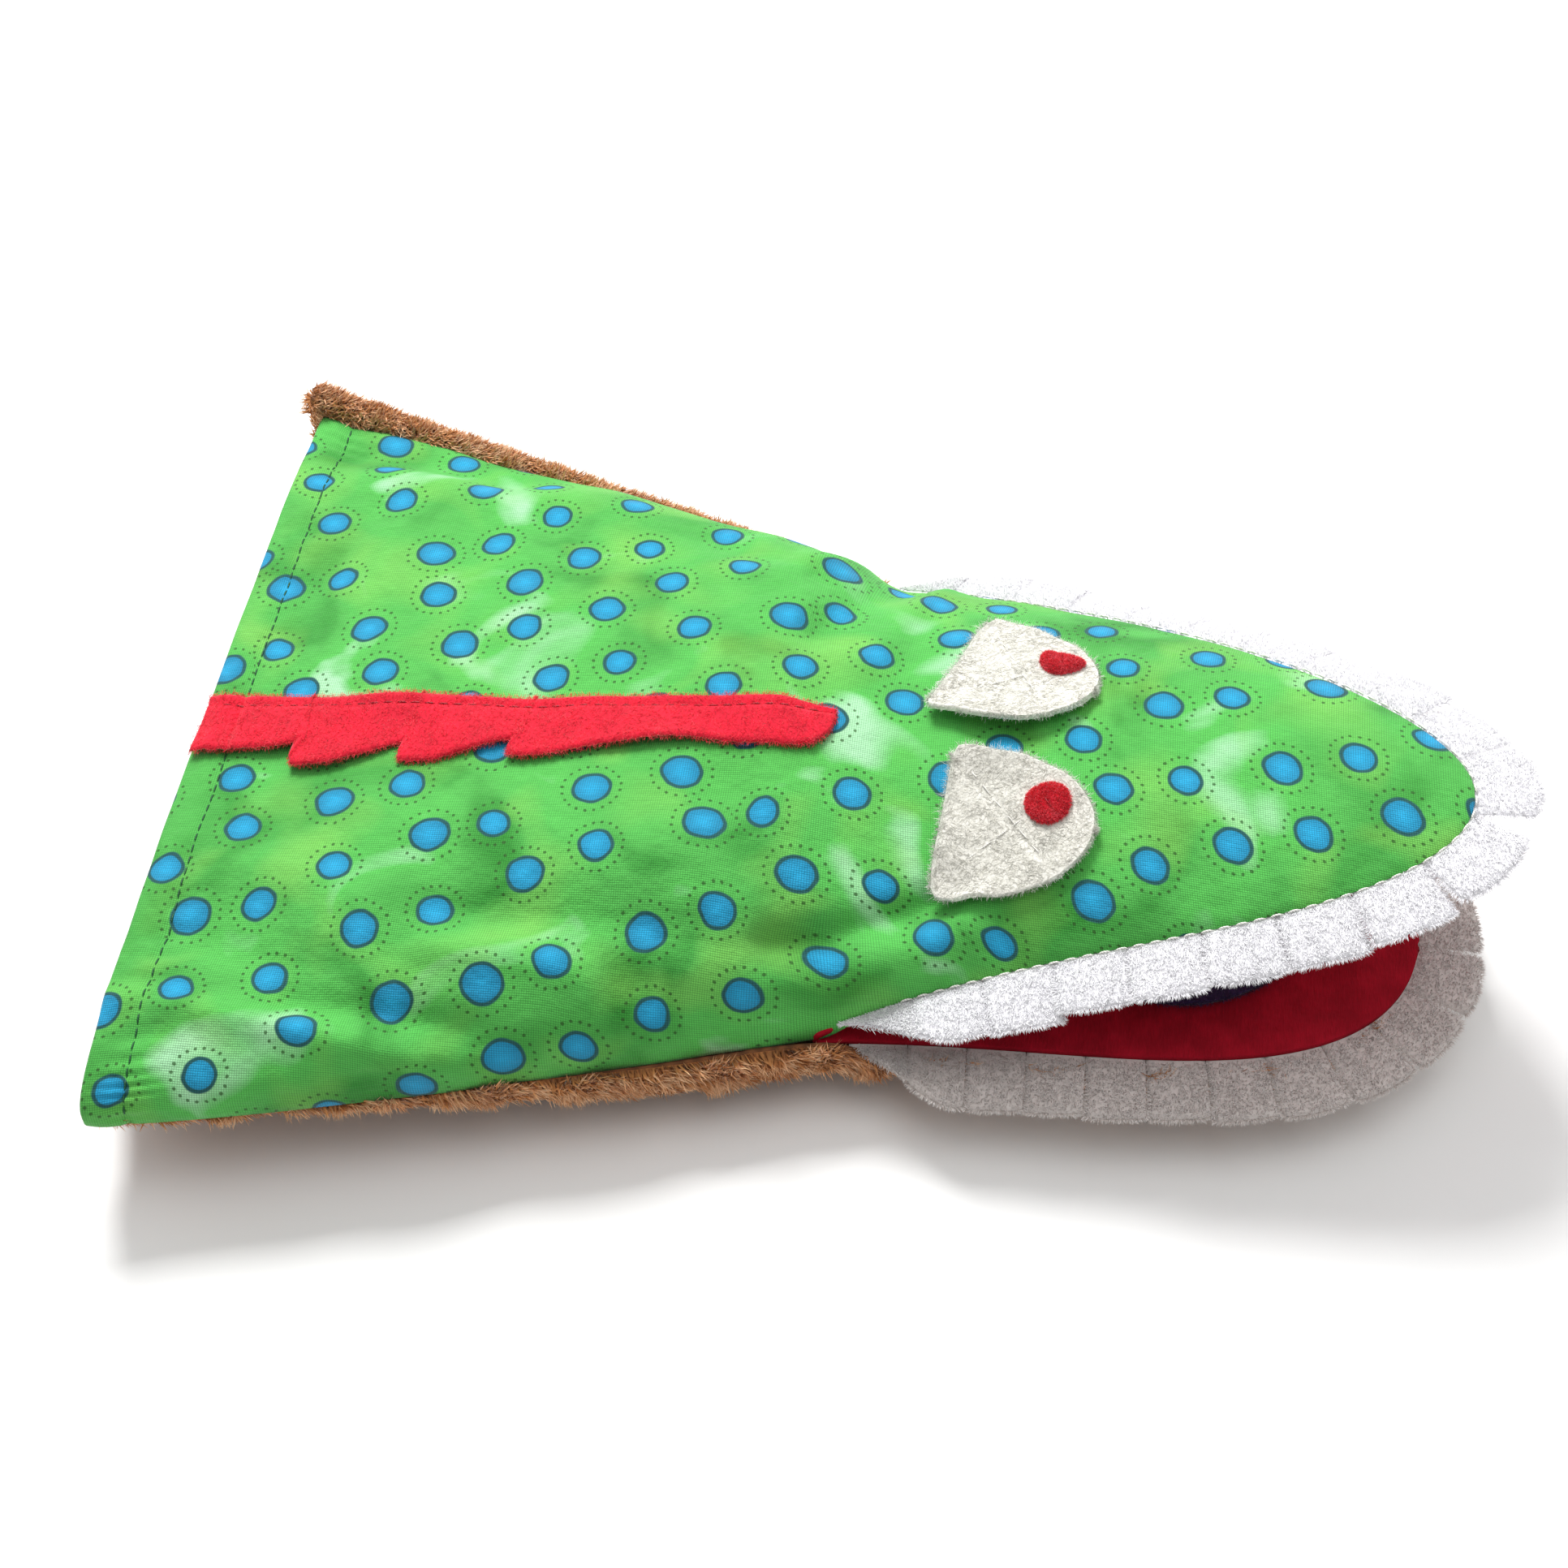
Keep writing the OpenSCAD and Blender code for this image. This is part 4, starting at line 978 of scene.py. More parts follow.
class PUPPET_OT_stage(bpy.types.Operator):
    """Floor, soft studio light and the camera"""

    bl_idname = "puppet.stage"
    bl_label = "Stage"

    def execute(self, context):
        scene = context.scene
        a = np.linspace(-5, 5, 9)
        x, y = np.meshgrid(a, a, indexing="ij")
        s = sizes()
        points = stack(x / MM + s.origin_x, y / MM, 0 * x - 0.02).reshape(-1, 3)
        mat, tree, shader, _, place = fresh("painted floor")
        mottle = put(tree, "ShaderNodeTexNoise", {"Vector": place, "Scale": 6.0, "Detail": 4.0})
        pale = [(0.3, hex_linear("#F1F1F0")), (0.7, hex_linear("#F6F6F5"))]
        col = put(tree, "ShaderNodeValToRGB", {0: mottle}, pale)
        tree.links.new(col.outputs[0], shader.inputs["Base Color"])
        shader.inputs["Roughness"].default_value = 0.7
        floor = put_mesh("Floor", points, grid_faces(9, 9), [mat])
        floor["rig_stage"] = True
        world = bpy.data.worlds.new("studio")
        world.use_nodes = True
        sky = world.node_tree
        way = put(sky, "ShaderNodeTexCoord")
        leaning = {0: way.outputs["Generated"], 1: (0.0, 0.5, 0.87)}
        height = put(sky, "ShaderNodeVectorMath", leaning, operation="DOT_PRODUCT")
        bright = {"Value": height.outputs["Value"], "From Min": -0.4, "To Min": 0.16, "To Max": 0.74}
        glow = put(sky, "ShaderNodeMapRange", bright)
        sky.nodes["Background"].inputs[0].default_value = (1.0, 1.0, 1.0, 1.0)
        sky.links.new(glow.outputs[0], sky.nodes["Background"].inputs[1])
        scene.world = world
        for name, place, size, power in (
            ("key", (-0.25, 0.6, 0.95), 0.35, 14.0),
            ("fill", (0.3, -0.15, 1.3), 0.9, 4.0),
        ):
            lamp = bpy.data.lights.new(name, "AREA")
            lamp.size, lamp.energy = size, power
            obj = bpy.data.objects.new(name, lamp)
            obj.location = place
            obj.rotation_euler = (Vector((0, 0, 0.02)) - Vector(place)).to_track_quat("-Z", "Y").to_euler()
            scene.collection.objects.link(obj)
        # the camera looks down at the puppet from its right side and slightly from the front
        high, round_by, tilt, away = math.radians(48.92), math.radians(9.42), math.radians(-3.5), 0.45514
        level = math.cos(high)
        back = Vector((math.sin(round_by) * level, -math.cos(round_by) * level, math.sin(high)))
        right = (-back).cross(Vector((0, 0, 1))).normalized()
        up = right.cross(-back)
        right, up = right * math.cos(tilt) + up * math.sin(tilt), up * math.cos(tilt) - right * math.sin(tilt)
        camera = bpy.data.cameras.new("camera")
        camera.lens, camera.sensor_width = 56.34, 36.0
        camera.clip_start, camera.clip_end = 0.01, 20.0
        obj = bpy.data.objects.new("camera", camera)
        spot = Vector((-0.00861, -0.01452, 0.03701)) + back * away
        turn = Matrix((right, up, back)).transposed().to_4x4()
        obj.matrix_world = Matrix.Translation(spot) @ turn
        scene.collection.objects.link(obj)
        scene.camera = obj
        scene.view_settings.view_transform = "Standard"
        return {"FINISHED"}


class PUPPET_OT_cotton(bpy.types.Operator):
    """Printed cotton from wrist to snout, with its hem turned in"""

    bl_idname = "puppet.cotton"
    bl_label = "Printed cotton"

    def execute(self, context):
        s = sizes()
        cols = 181
        whole = s.sleeve_len - s.neck_back + s.neck_len + s.upper_len - s.head_start
        r = np.linspace(0.4, whole, 214)[:, None]
        a = np.linspace(0, np.pi, cols)[None]
        outer, n = cotton_grid(s, r, a)
        # the hem: round the wrist edge and back along the inside
        hem, _ = cotton_grid(s, np.linspace(s.hem_w, 0.9, 14)[:, None], a, 1.0)
        round_a = np.linspace(0.25, 0.75, 4)[:, None, None]
        edge = mix(hem[-1:], outer[:1], round_a)
        edge[..., 0] -= 0.75 * np.sin(np.pi * np.linspace(0.25, 0.75, 4))[:, None]
        sheet = np.concatenate([hem, edge, outer])
        normal = normals_up(sheet, 120, cols // 2)
        sides = [material("printed cotton"), material("cotton wrong side")]
        obj = closed_sheet("Cotton_Back", sheet, sheet - normal * s.cotton_t, sides, flat_uv(sheet))
        bend_upper(s, obj)
        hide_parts("back_panel", "back_hem", "neck_fold_top", "head_panel")
        # stitches of the hem, set in the groove
        row = int(np.argmin(np.abs(r[:, 0] - s.hem_stitch_x)))
        line, up = outer[row, 3:-3], n[row, 3:-3]
        stitched = put_parts("Stitches_Hem_Back", stitches(line, up, 2.5, 2.1, 0.15, 0.02), "green thread")
        fix(stitched, "sleeve", "green_thread", "back_hem_stitches")
        return {"FINISHED"}


def belly_panel(s, r, a, inset):
    """Belly and chin panel: an arch that hangs from the seam line to the table, flat underneath. On the right
    it runs inwards from the seam at the wrist, and everywhere else it bulges out past it. On the left it also
    stands up beside the cotton as a soft roll."""
    end = s.sleeve_len - s.neck_back
    v = np.clip((r - end) / s.throat_len, 0, 1)
    x = np.where(r < end, r, end + s.neck_back * v)
    q = ease((x - 20) / 85)
    right = np.cos(a) < 0
    p1 = np.where(right, mix(1.3, 2 / 2.6, q), 2 / 2.6)
    p2 = np.where(right, mix(1.6, 2 / 2.6, q), 2 / 2.6)
    out = np.where(right, mix(-0.5, 3.2, q), mix(6.2, 5.0, share(s, x)))
    c = spow(np.cos(a), p1)
    top = seam_z(s, x, c) - 0.3
    depth = np.minimum(1, 1.35 * np.abs(np.sin(a)) ** p2)
    roll = mix(5.6, 3.4, share(s, x)) * ease(1 - (2 * np.pi - a) / 0.5)
    out = out - 2.2 * ease(1 - (2 * np.pi - a) / 0.3)
    # the wrist edge stands out under the crest, and is drawn back at the right seam
    peek = -4.5 * np.exp(-(((a - 1.5 * np.pi + 0.1) / 0.5) ** 2)) + 4.0 * ease(1 - (a - np.pi) / 0.8)
    x = x + peek * (1 - ease(x / 18))
    belly = stack(x, (sleeve_w(s, x) + out - inset) * c, top + roll - (top + roll - inset) * depth)
    whole = s.lower_len - s.chin_start
    start = s.chin_start / s.lower_len
    chin_t = along_jaw(r - end - s.throat_len, start, whole)
    t = np.where(r < end + s.throat_len, s.chin_start * v / s.lower_len, chin_t)
    k = shrink(s, t)
    c2 = spow(np.cos(a), 2 / 2.6)
    proud = (3.5 * np.minimum(1, 3 * k) - inset) * k
    chin = stack(
        (s.lower_len - inset) * t,
        (mix(s.mouth_half_w, s.lower_nose_w, t) * k + proud) * c2 + sway(s, t),
        -s.rim_z
        - np.maximum(0.02, (s.hinge_z - s.rim_z - inset) * k**0.6)
        * np.minimum(1, 1.35 * np.abs(np.sin(a)) ** (2 / 2.6)),
    )
    return mix(belly, pitched(s, chin, 0.0), ease(v)[..., None])


def belly_base(s, r, a, inset):
    """The belly and chin panel with both edges led to the corners of the mouth."""
    v = np.clip((r - s.sleeve_len + s.neck_back) / s.throat_len, 0, 1)
    p = belly_panel(s, r, a, inset)
    ends = ((np.pi, -1), (2 * np.pi, 1))
    return led_to_edges(s, p, v, a, ends, lambda end: belly_panel(s, r, end, inset), -1, 0.0)


class PUPPET_OT_plush(bpy.types.Operator):
    """Brown plush under the sleeve and the lower jaw, with its pile"""

    bl_idname = "puppet.plush"
    bl_label = "Plush belly"

    def execute(self, context):
        s = sizes()
        rng = np.random.default_rng(7)
        whole = s.sleeve_len - s.neck_back + s.throat_len + s.lower_len - s.chin_start
        cols = 121
        a = np.linspace(np.pi, 2 * np.pi, cols)[None]
        r = np.linspace(-s.belly_over + 1.2, whole, 150)[:, None]
        pile_h = 2.4
        outer = belly_base(s, r, a, pile_h)
        outer[..., 2] += 0.35 * np.sin(r / 8 + 3 * a) * np.minimum(1, -np.sin(a) * 3) + 0.2
        k = np.linspace(1, 0, 8)[:, None]
        hem = belly_base(s, mix(-s.belly_over + 1.6, s.hem_w, k), a, pile_h + 2.6)
        edge = mix(hem[-1:], outer[:1], np.linspace(0.2, 0.8, 4)[:, None, None])
        edge[..., 0] -= 0.9 * np.sin(np.pi * np.linspace(0.2, 0.8, 4))[:, None]
        sheet = np.concatenate([hem, edge, outer])
        normal = -normals_up(sheet, 80, cols // 2)
        sides = [material("plush ground"), material("knitted backing")]
        obj = closed_sheet("Plush_Belly", sheet, sheet - normal * 0.9, sides, flat_uv(sheet))
        bend_lower(s, obj)
        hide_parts("belly_panel", "neck_fold_bottom", "chin_panel", "belly_hem")
        out = sheet[8:]
        n_out = normal[8:]
        # five times as many hairs at the side seams as underneath
        edge_near = 1 + 4.0 * np.exp(-((np.minimum(a - np.pi, 2 * np.pi - a) / 0.55) ** 2)) + 0 * out[..., 0]
        rows = out.shape[0]
        cut = 4 + int(np.argmin(np.abs(r[:, 0] - 100)))
        regions = (
            ("Pile_Sleeve_Left", slice(0, cut), slice(cols // 2, cols), 50000),
            ("Pile_Sleeve_Right", slice(0, cut), slice(0, cols // 2 + 1), 62000),
            ("Pile_Chin", slice(cut - 1, rows), slice(0, cols), 64000),
        )
        for name, i, j, count in regions:
            root, up, along = scatter(out[i, j], n_out[i, j], count, rng, edge_near[i, j])
            down = np.array([0, 0, -1.0])
            clump = np.stack(
                [
                    np.sin(root[:, 0] / 1.7 + 2.1 * np.sin(root[:, 1] / 3.1)),
                    np.sin(root[:, 1] / 1.9 + 1.7 * np.sin(root[:, 0] / 2.7) + root[:, 2] / 2.3),
                    np.sin(root[:, 2] / 1.8 + root[:, 0] / 2.9),
                ],
                1,
            )
            # combed towards the snout, in clumps, and up along the left seam
            lean = unit(along * 0.75 + down * 0.15 + clump * 0.55 + rng.normal(size=root.shape) * 0.4)
            on_left = ease(1 - (s.wrist_half_w - root[:, 1] - share(s, root[:, 0]) * 30) / 9)[:, None]
            up = unit(up + on_left * [0, 0, 0.9])
            rise = unit(up * 1.0 + along * 0.35 + clump * 0.25 + rng.normal(size=root.shape) * 0.22)
            long = s.pile_len * (0.75 + 0.4 * rng.random(count))
            flat = ease((3.2 - root[:, 2]) / 2.4)  # pressed flat where it lies on the table
            rise = unit(mix(rise, lean, 0.85 * flat[:, None]))
            tuft = [blades(root - up * 0.2, rise, lean, long, 0.42, rng, 0.7, up, 0.5)]
            if name.endswith("Left"):
                # the roll's crest has pile all round it, towards the cotton as well
                line = out[: cut + 8, -1]
                count = 15000
                pick = rng.integers(0, len(line) - 1, count)
                turn = np.radians(rng.uniform(-10, 205, count))
                ray = np.stack([0 * turn, np.cos(turn), np.sin(turn)], 1)
                wide = mix(1.9, 1.2, share(s, line[pick, :1]))
                root = mix(line[pick], line[pick + 1], rng.random((count, 1))) + ray * wide - [0, 0.6, 1.2]
                locks = 0.35 * np.sin(root[:, [1, 0, 0]] / 1.6)
                lean = unit([0.75, 0.25, 0.1] + rng.normal(size=root.shape) * 0.45 + locks)
                rise = unit(ray + [0.35, 0, 0.15] + rng.normal(size=root.shape) * 0.25)
                long = s.pile_len * rng.uniform(0.45, 0.85, count)
                tuft.append(blades(root, rise, lean, long, 0.42, rng, 0.6, ray + [0, 0, 0.6], 0.5))
            p, f, t = join_parts(tuft)
            p[:, 2] = np.maximum(p[:, 2], 0.08 + 0.05 * rng.random(len(p)))  # hairs stay above the table
            pile = put_parts(name, (p, f, t), "plush pile")
            bend_lower(s, pile)
        # stitches of the hem on the inside
        y = np.linspace(-0.78, 0.78, 90) * s.wrist_half_w
        z = np.full_like(y, pile_h + 2.6 + 1.2)
        row = stitches(stack(s.hem_stitch_x, y, z), np.tile([0, 0, 1.0], (len(y), 1)), 3.6, 2.9, 0.18)
        stitched = put_parts("Stitches_Hem_Belly", row, "brown thread")
        fix(stitched, "sleeve", "brown_thread", "belly_hem_stitches")
        return {"FINISHED"}


class PUPPET_OT_allowances(bpy.types.Operator):
    """Seam allowances inside both side seams"""

    bl_idname = "puppet.allowances"
    bl_label = "Seam allowances"

    def execute(self, context):
        s = sizes()
        x = np.linspace(s.hem_w + 1, s.sleeve_len - s.neck_back - 1, 60)[:, None]
        into = np.linspace(0, s.allowance_w, 9)[None]
        for side, name in ((1, "Left"), (-1, "Right")):
            ruffle = 0.35 * np.sin(x / 4.0 + side) * (into / s.allowance_w) ** 1.5
            z = seam_z(s, x, side * np.ones_like(x)) - 0.1 + ruffle
            mid = stack(x, side * (sleeve_w(s, x) - 2.6 - into), z)
            sides = [material("cotton wrong side"), material("knitted backing")]
            obj = slab(f"Allowance_{name}", mid, normals_up(mid, 30, 4), 1.2, sides, (1, 1), flat_uv(mid))
            fix(obj, "sleeve", "fur_backing", f"side_seam_{name.lower()}")
        return {"FINISHED"}


def jaw_path(s, long, nose, count=700):
    """Seam outline of a jaw: a taper closed by a blunt curve, as points with lengths and outward normals."""
    a = np.linspace(np.pi / 2, -np.pi / 2, count)
    t = np.maximum(3.2 / long, np.abs(np.cos(a)) ** (2 / s.power))
    wide = upper_half(s, t, np.sign(a)) if nose == s.upper_nose_w else mix(s.mouth_half_w, nose, t)
    p = np.stack([long * t, wide * shrink(s, t) * np.sign(a) + sway(s, t)], 1)
    keep = np.concatenate([[True], np.linalg.norm(np.diff(p, axis=0), axis=1) > 1e-6])
    p = p[keep]
    lengths = np.concatenate([[0], np.cumsum(np.linalg.norm(np.diff(p, axis=0), axis=1))])
    d = unit(np.gradient(p, lengths, axis=0))
    return p, lengths, np.stack([-d[:, 1], d[:, 0]], 1)


def on_path(path, s):
    """Points and outward normals of a seam outline at distances s along it."""
    p, lengths, n = path
    at = np.stack([np.interp(s, lengths, p[:, c]) for c in (0, 1)], -1)
    out = np.stack([np.interp(s, lengths, n[:, c]) for c in (0, 1)], -1)
    return at, unit(out)


def tooth_grids(s, path, width, up, droop, rng):
    """Tooth flaps of a strip: each is a grid from inside the seam to its tip, turned a little about its root,
    overlapping its neighbour like a shingle, and drooping with the square of the distance from the seam."""
    lengths = path[1]
    total, first = lengths[-1], 1.2
    count = int((total - 2 * first) // width)
    w = (total - 2 * first) / count
    grids = []
    for k in range(count):
        s0, s1 = first + k * w, first + (k + 1) * w
        mid = (s0 + s1) / 2
        u = np.linspace(0, 1, 13)[:, None]
        at = mix(s0, s1, u)
        long = s.tooth_len - (2.0 if up > 0 else 0.6)
        reach = (long * ease(np.minimum(at, total - at) / 22) + 0.5) * (0.96 + 0.08 * rng.random())
        root, free = np.linspace(-2.0, 0.2, 4)[None] + 0 * u, np.linspace(0, 1, 12)[None, 1:]
        v = np.concatenate([root, mix(0.2, reach, free)], 1)
        base, normal = on_path(path, mix(s0 + 0.06, s1 - 0.06, u[:, 0]))
        _, m = on_path(path, np.array([mid]))
        out = unit(mix(normal, m, 0.4))
        far = np.clip(v / long, 0, 1)
        side = np.stack([-m[:, 1], m[:, 0]], 1)
        narrow = -(u - 0.5) * w * 0.015 * far
        skew = rng.normal() * 0.15 * far
        xy = base[:, None] + out[:, None] * v[..., None] - side[None] * (narrow + skew)[..., None]
        corner = 1 - 0.05 * np.abs(2 * u - 1) ** 6
        xy = mix(base[:, None] + 0 * xy, xy, np.where(v[..., None] > 0, corner[..., None], 1.0))
        hang = droop * (1 + 2.6 * max(0.0, float(m[0, 1]))) if up > 0 else droop
        sag = hang * far**1.7 * (0.7 + 0.6 * rng.random())
        tilt = (u - 0.5) * (0.9 + 0.5 * rng.random()) * far ** 0.7
        curl = 0.3 * rng.normal() * far**2 * (2 * u - 1) ** 2
        z = up * (s.teeth_z + 0.45 - 0.1) + up * tilt * 0.8 + sag + up * curl
        grids.append(stack(xy[..., 0], xy[..., 1], z))
    return grids


class PUPPET_OT_teeth(bpy.types.Operator):
    """Slit strips of white pile that make the teeth"""

    bl_idname = "puppet.teeth"
    bl_label = "Teeth"

    def execute(self, context):
        s = sizes()
        seam_cols = 3  # a tooth's columns inside the seam
        strips = (
            ("Upper", s.upper_len, s.upper_nose_w, s.upper_tooth_w, 1, -1.5, s.rest, 60000, "white"),
            # the lower strip takes the greyer, warmer copy of the white: the shade that the upper jaw casts on
            # it is painted in
            ("Lower", s.lower_len, s.lower_nose_w, s.lower_tooth_w, -1, -0.5, 0.0, 46000, "shade-painted white"),
        )
        for name, long, nose, width, up, droop, angle, hairs, finish in strips:
            body = f"{name.lower()}_jaw"
            rng = np.random.default_rng(11 + up)
            path = jaw_path(s, long, nose)
            grids = tooth_grids(s, path, width, up, droop, rng)
            cloth, pile = [], []
            for g in grids:
                p = pitched(s, g, angle)
                n = normals_up(p, 6, 7)
                h = (edge_share(*p.shape[:2], 1.2, 1.2) * 0.4)[..., None]
                top = p + n * h
                points, faces = shell(top, p - n * h)
                cloth.append((points, faces, np.zeros((len(points), 2))))
                # pile on the free part, combed towards the tip
                count = hairs // len(grids)
                root, rise, _ = scatter(top[:, seam_cols:], n[:, seam_cols:], int(count * 0.75), rng)
                out = unit(p[:, -1].mean(0) - p[:, seam_cols].mean(0))
                lean = unit(out[None] * 0.7 + rng.normal(size=root.shape) * 0.6)
                stand = unit(rise + rng.normal(size=root.shape) * 0.3)
                tall = 0.7 + 0.4 * rng.random(len(root))
                pile.append(blades(root, stand, lean, tall, 0.17, rng, 0.8, up * rise, 0.3))
                # the cut edges, where the pile stands out sideways
                back_edge = p[-1, : seam_cols - 1 : -1]
                rim = np.concatenate([p[0, seam_cols:], p[1:-1, -1], p[::-1, -1], back_edge])
                away = unit(rim - p[:, seam_cols:].reshape(-1, 3).mean(0))
                root, pick = along_edge(rim, int(count * 0.25), rng)
                gone = unit(away[pick] + rng.normal(size=root.shape) * 0.35)
                tall = 0.7 + 0.7 * rng.random(len(root))
                pile.append(blades(root, gone, unit(gone + np.array([0, 0, -0.5])), tall, 0.12, rng, 0.5))
            teeth = put_parts(f"Teeth_{name}", join_parts(cloth), f"{finish} fleece")
            fix(teeth, body, "white_pile", f"{name.lower()}_teeth")
            fix(put_parts(f"Teeth_{name}_Pile", join_parts(pile), f"{finish} pile"), body, "white_pile")
            # seam thread between panel and teeth: small oversewn stitches
            inner = 12
            lengths = np.linspace(inner, path[1][-1] - inner, 400)
            at, out = on_path(path, lengths)
            zz = up * (s.rim_z + 0.15)
            line = pitched(s, stack(at[:, 0] + out[:, 0] * 0.35, at[:, 1] + out[:, 1] * 0.35, zz), angle)
            away = stack(at[:, 0] * 0, at[:, 1] * 0, float(up))
            n = pitched(s, away, angle) - pitched(s, np.zeros(3), angle)
            seam = put_parts(f"Seam_Thread_{name}", stitches(line, n, 3.0, 2.3, 0.2, 0.05), "white thread")
            fix(seam, body, "white_thread", f"{name.lower()}_mouth_seam")
        return {"FINISHED"}


class PUPPET_OT_lining(bpy.types.Operator):
    """Red felt lining of both jaws, which meet in the fold of the mouth"""

    bl_idname = "puppet.lining"
    bl_label = "Mouth lining"

    def execute(self, context):
        s = sizes()
        for name, long, nose, up, angle, body, nodes in (
            ("Palate", s.upper_len, s.upper_nose_w, 1, s.rest, "upper_jaw", ("palate_lining", "mouth_fold")),
            ("Floor", s.lower_len, s.lower_nose_w, -1, 0.0, "lower_jaw", ("floor_lining",)),
        ):
            side = np.sin(np.linspace(np.pi / 2, -np.pi / 2, 61))[None]
            k = np.linspace(0, 1, 90)[:, None]
            t = mix(4.0 / long, 0.9985, 1 - (1 - k) ** 1.7)
            wide = upper_half(s, t, side) if up > 0 else mix(s.mouth_half_w, nose, t)
            y = (wide * shrink(s, t) - 0.3) * side + sway(s, t)
            z = up * (s.lining_gap + s.felt_t / 2) + 0.12 * np.sin(t * 40 + 5 * side) * (1 - side**4)
            flat = stack(long * t, y, z)
            sheet = pitched(s, flat, angle)
            # the fold: a quarter of a roll behind the hinge, as wide as the mouth
            turn = np.linspace(-0.1, 1.25, 9)[:, None]
            roll = 1.5
            phi = np.pi + s.rest / 2 - up * turn
            wide = (s.mouth_half_w + 0.3) * side
            back = stack(s.sleeve_len + roll * np.cos(phi), wide, s.hinge_z + roll * np.sin(phi))
            joined = np.concatenate([back, sheet])
            n = -up * normals_up(joined, 60, 30)
            # the lining takes the red felt at 0.6 of its brightness: the shade inside the mouth is painted in
            obj = slab(f"Lining_{name}", joined, n, s.felt_t, [material("red lining felt in painted shade")], (1, 1.5))
            start, end = (row_point(s, s.sleeve_len + x, 0, s.hinge_z) for x in (-0.5, 4))
            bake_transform(obj)
            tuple(start)
            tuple(end)
            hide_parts(*nodes)
        return {"FINISHED"}


class PUPPET_OT_boards(bpy.types.Operator):
    """Card stiffeners between panel and lining get their finish"""

    bl_idname = "puppet.boards"
    bl_label = "Card stiffeners"

    def execute(self, context):
        for node in ("upper_board", "lower_board"):
            obj = next(o for o in bpy.data.objects if o.get("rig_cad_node") == node)
            for slot in obj.material_slots:
                slot.link = "OBJECT"
                slot.material = material("grey card")
            if not obj.material_slots:
                obj.data.materials.append(material("grey card"))
        return {"FINISHED"}


def on_crest(s, x, y, z):
    """A point of the crest, which lies along the middle of the back at a height z over the cotton's face."""
    along = x * math.cos(s.crest_slope)
    return np.stack(np.broadcast_arrays(along, y, cotton_top(s, along, y) + z), -1)


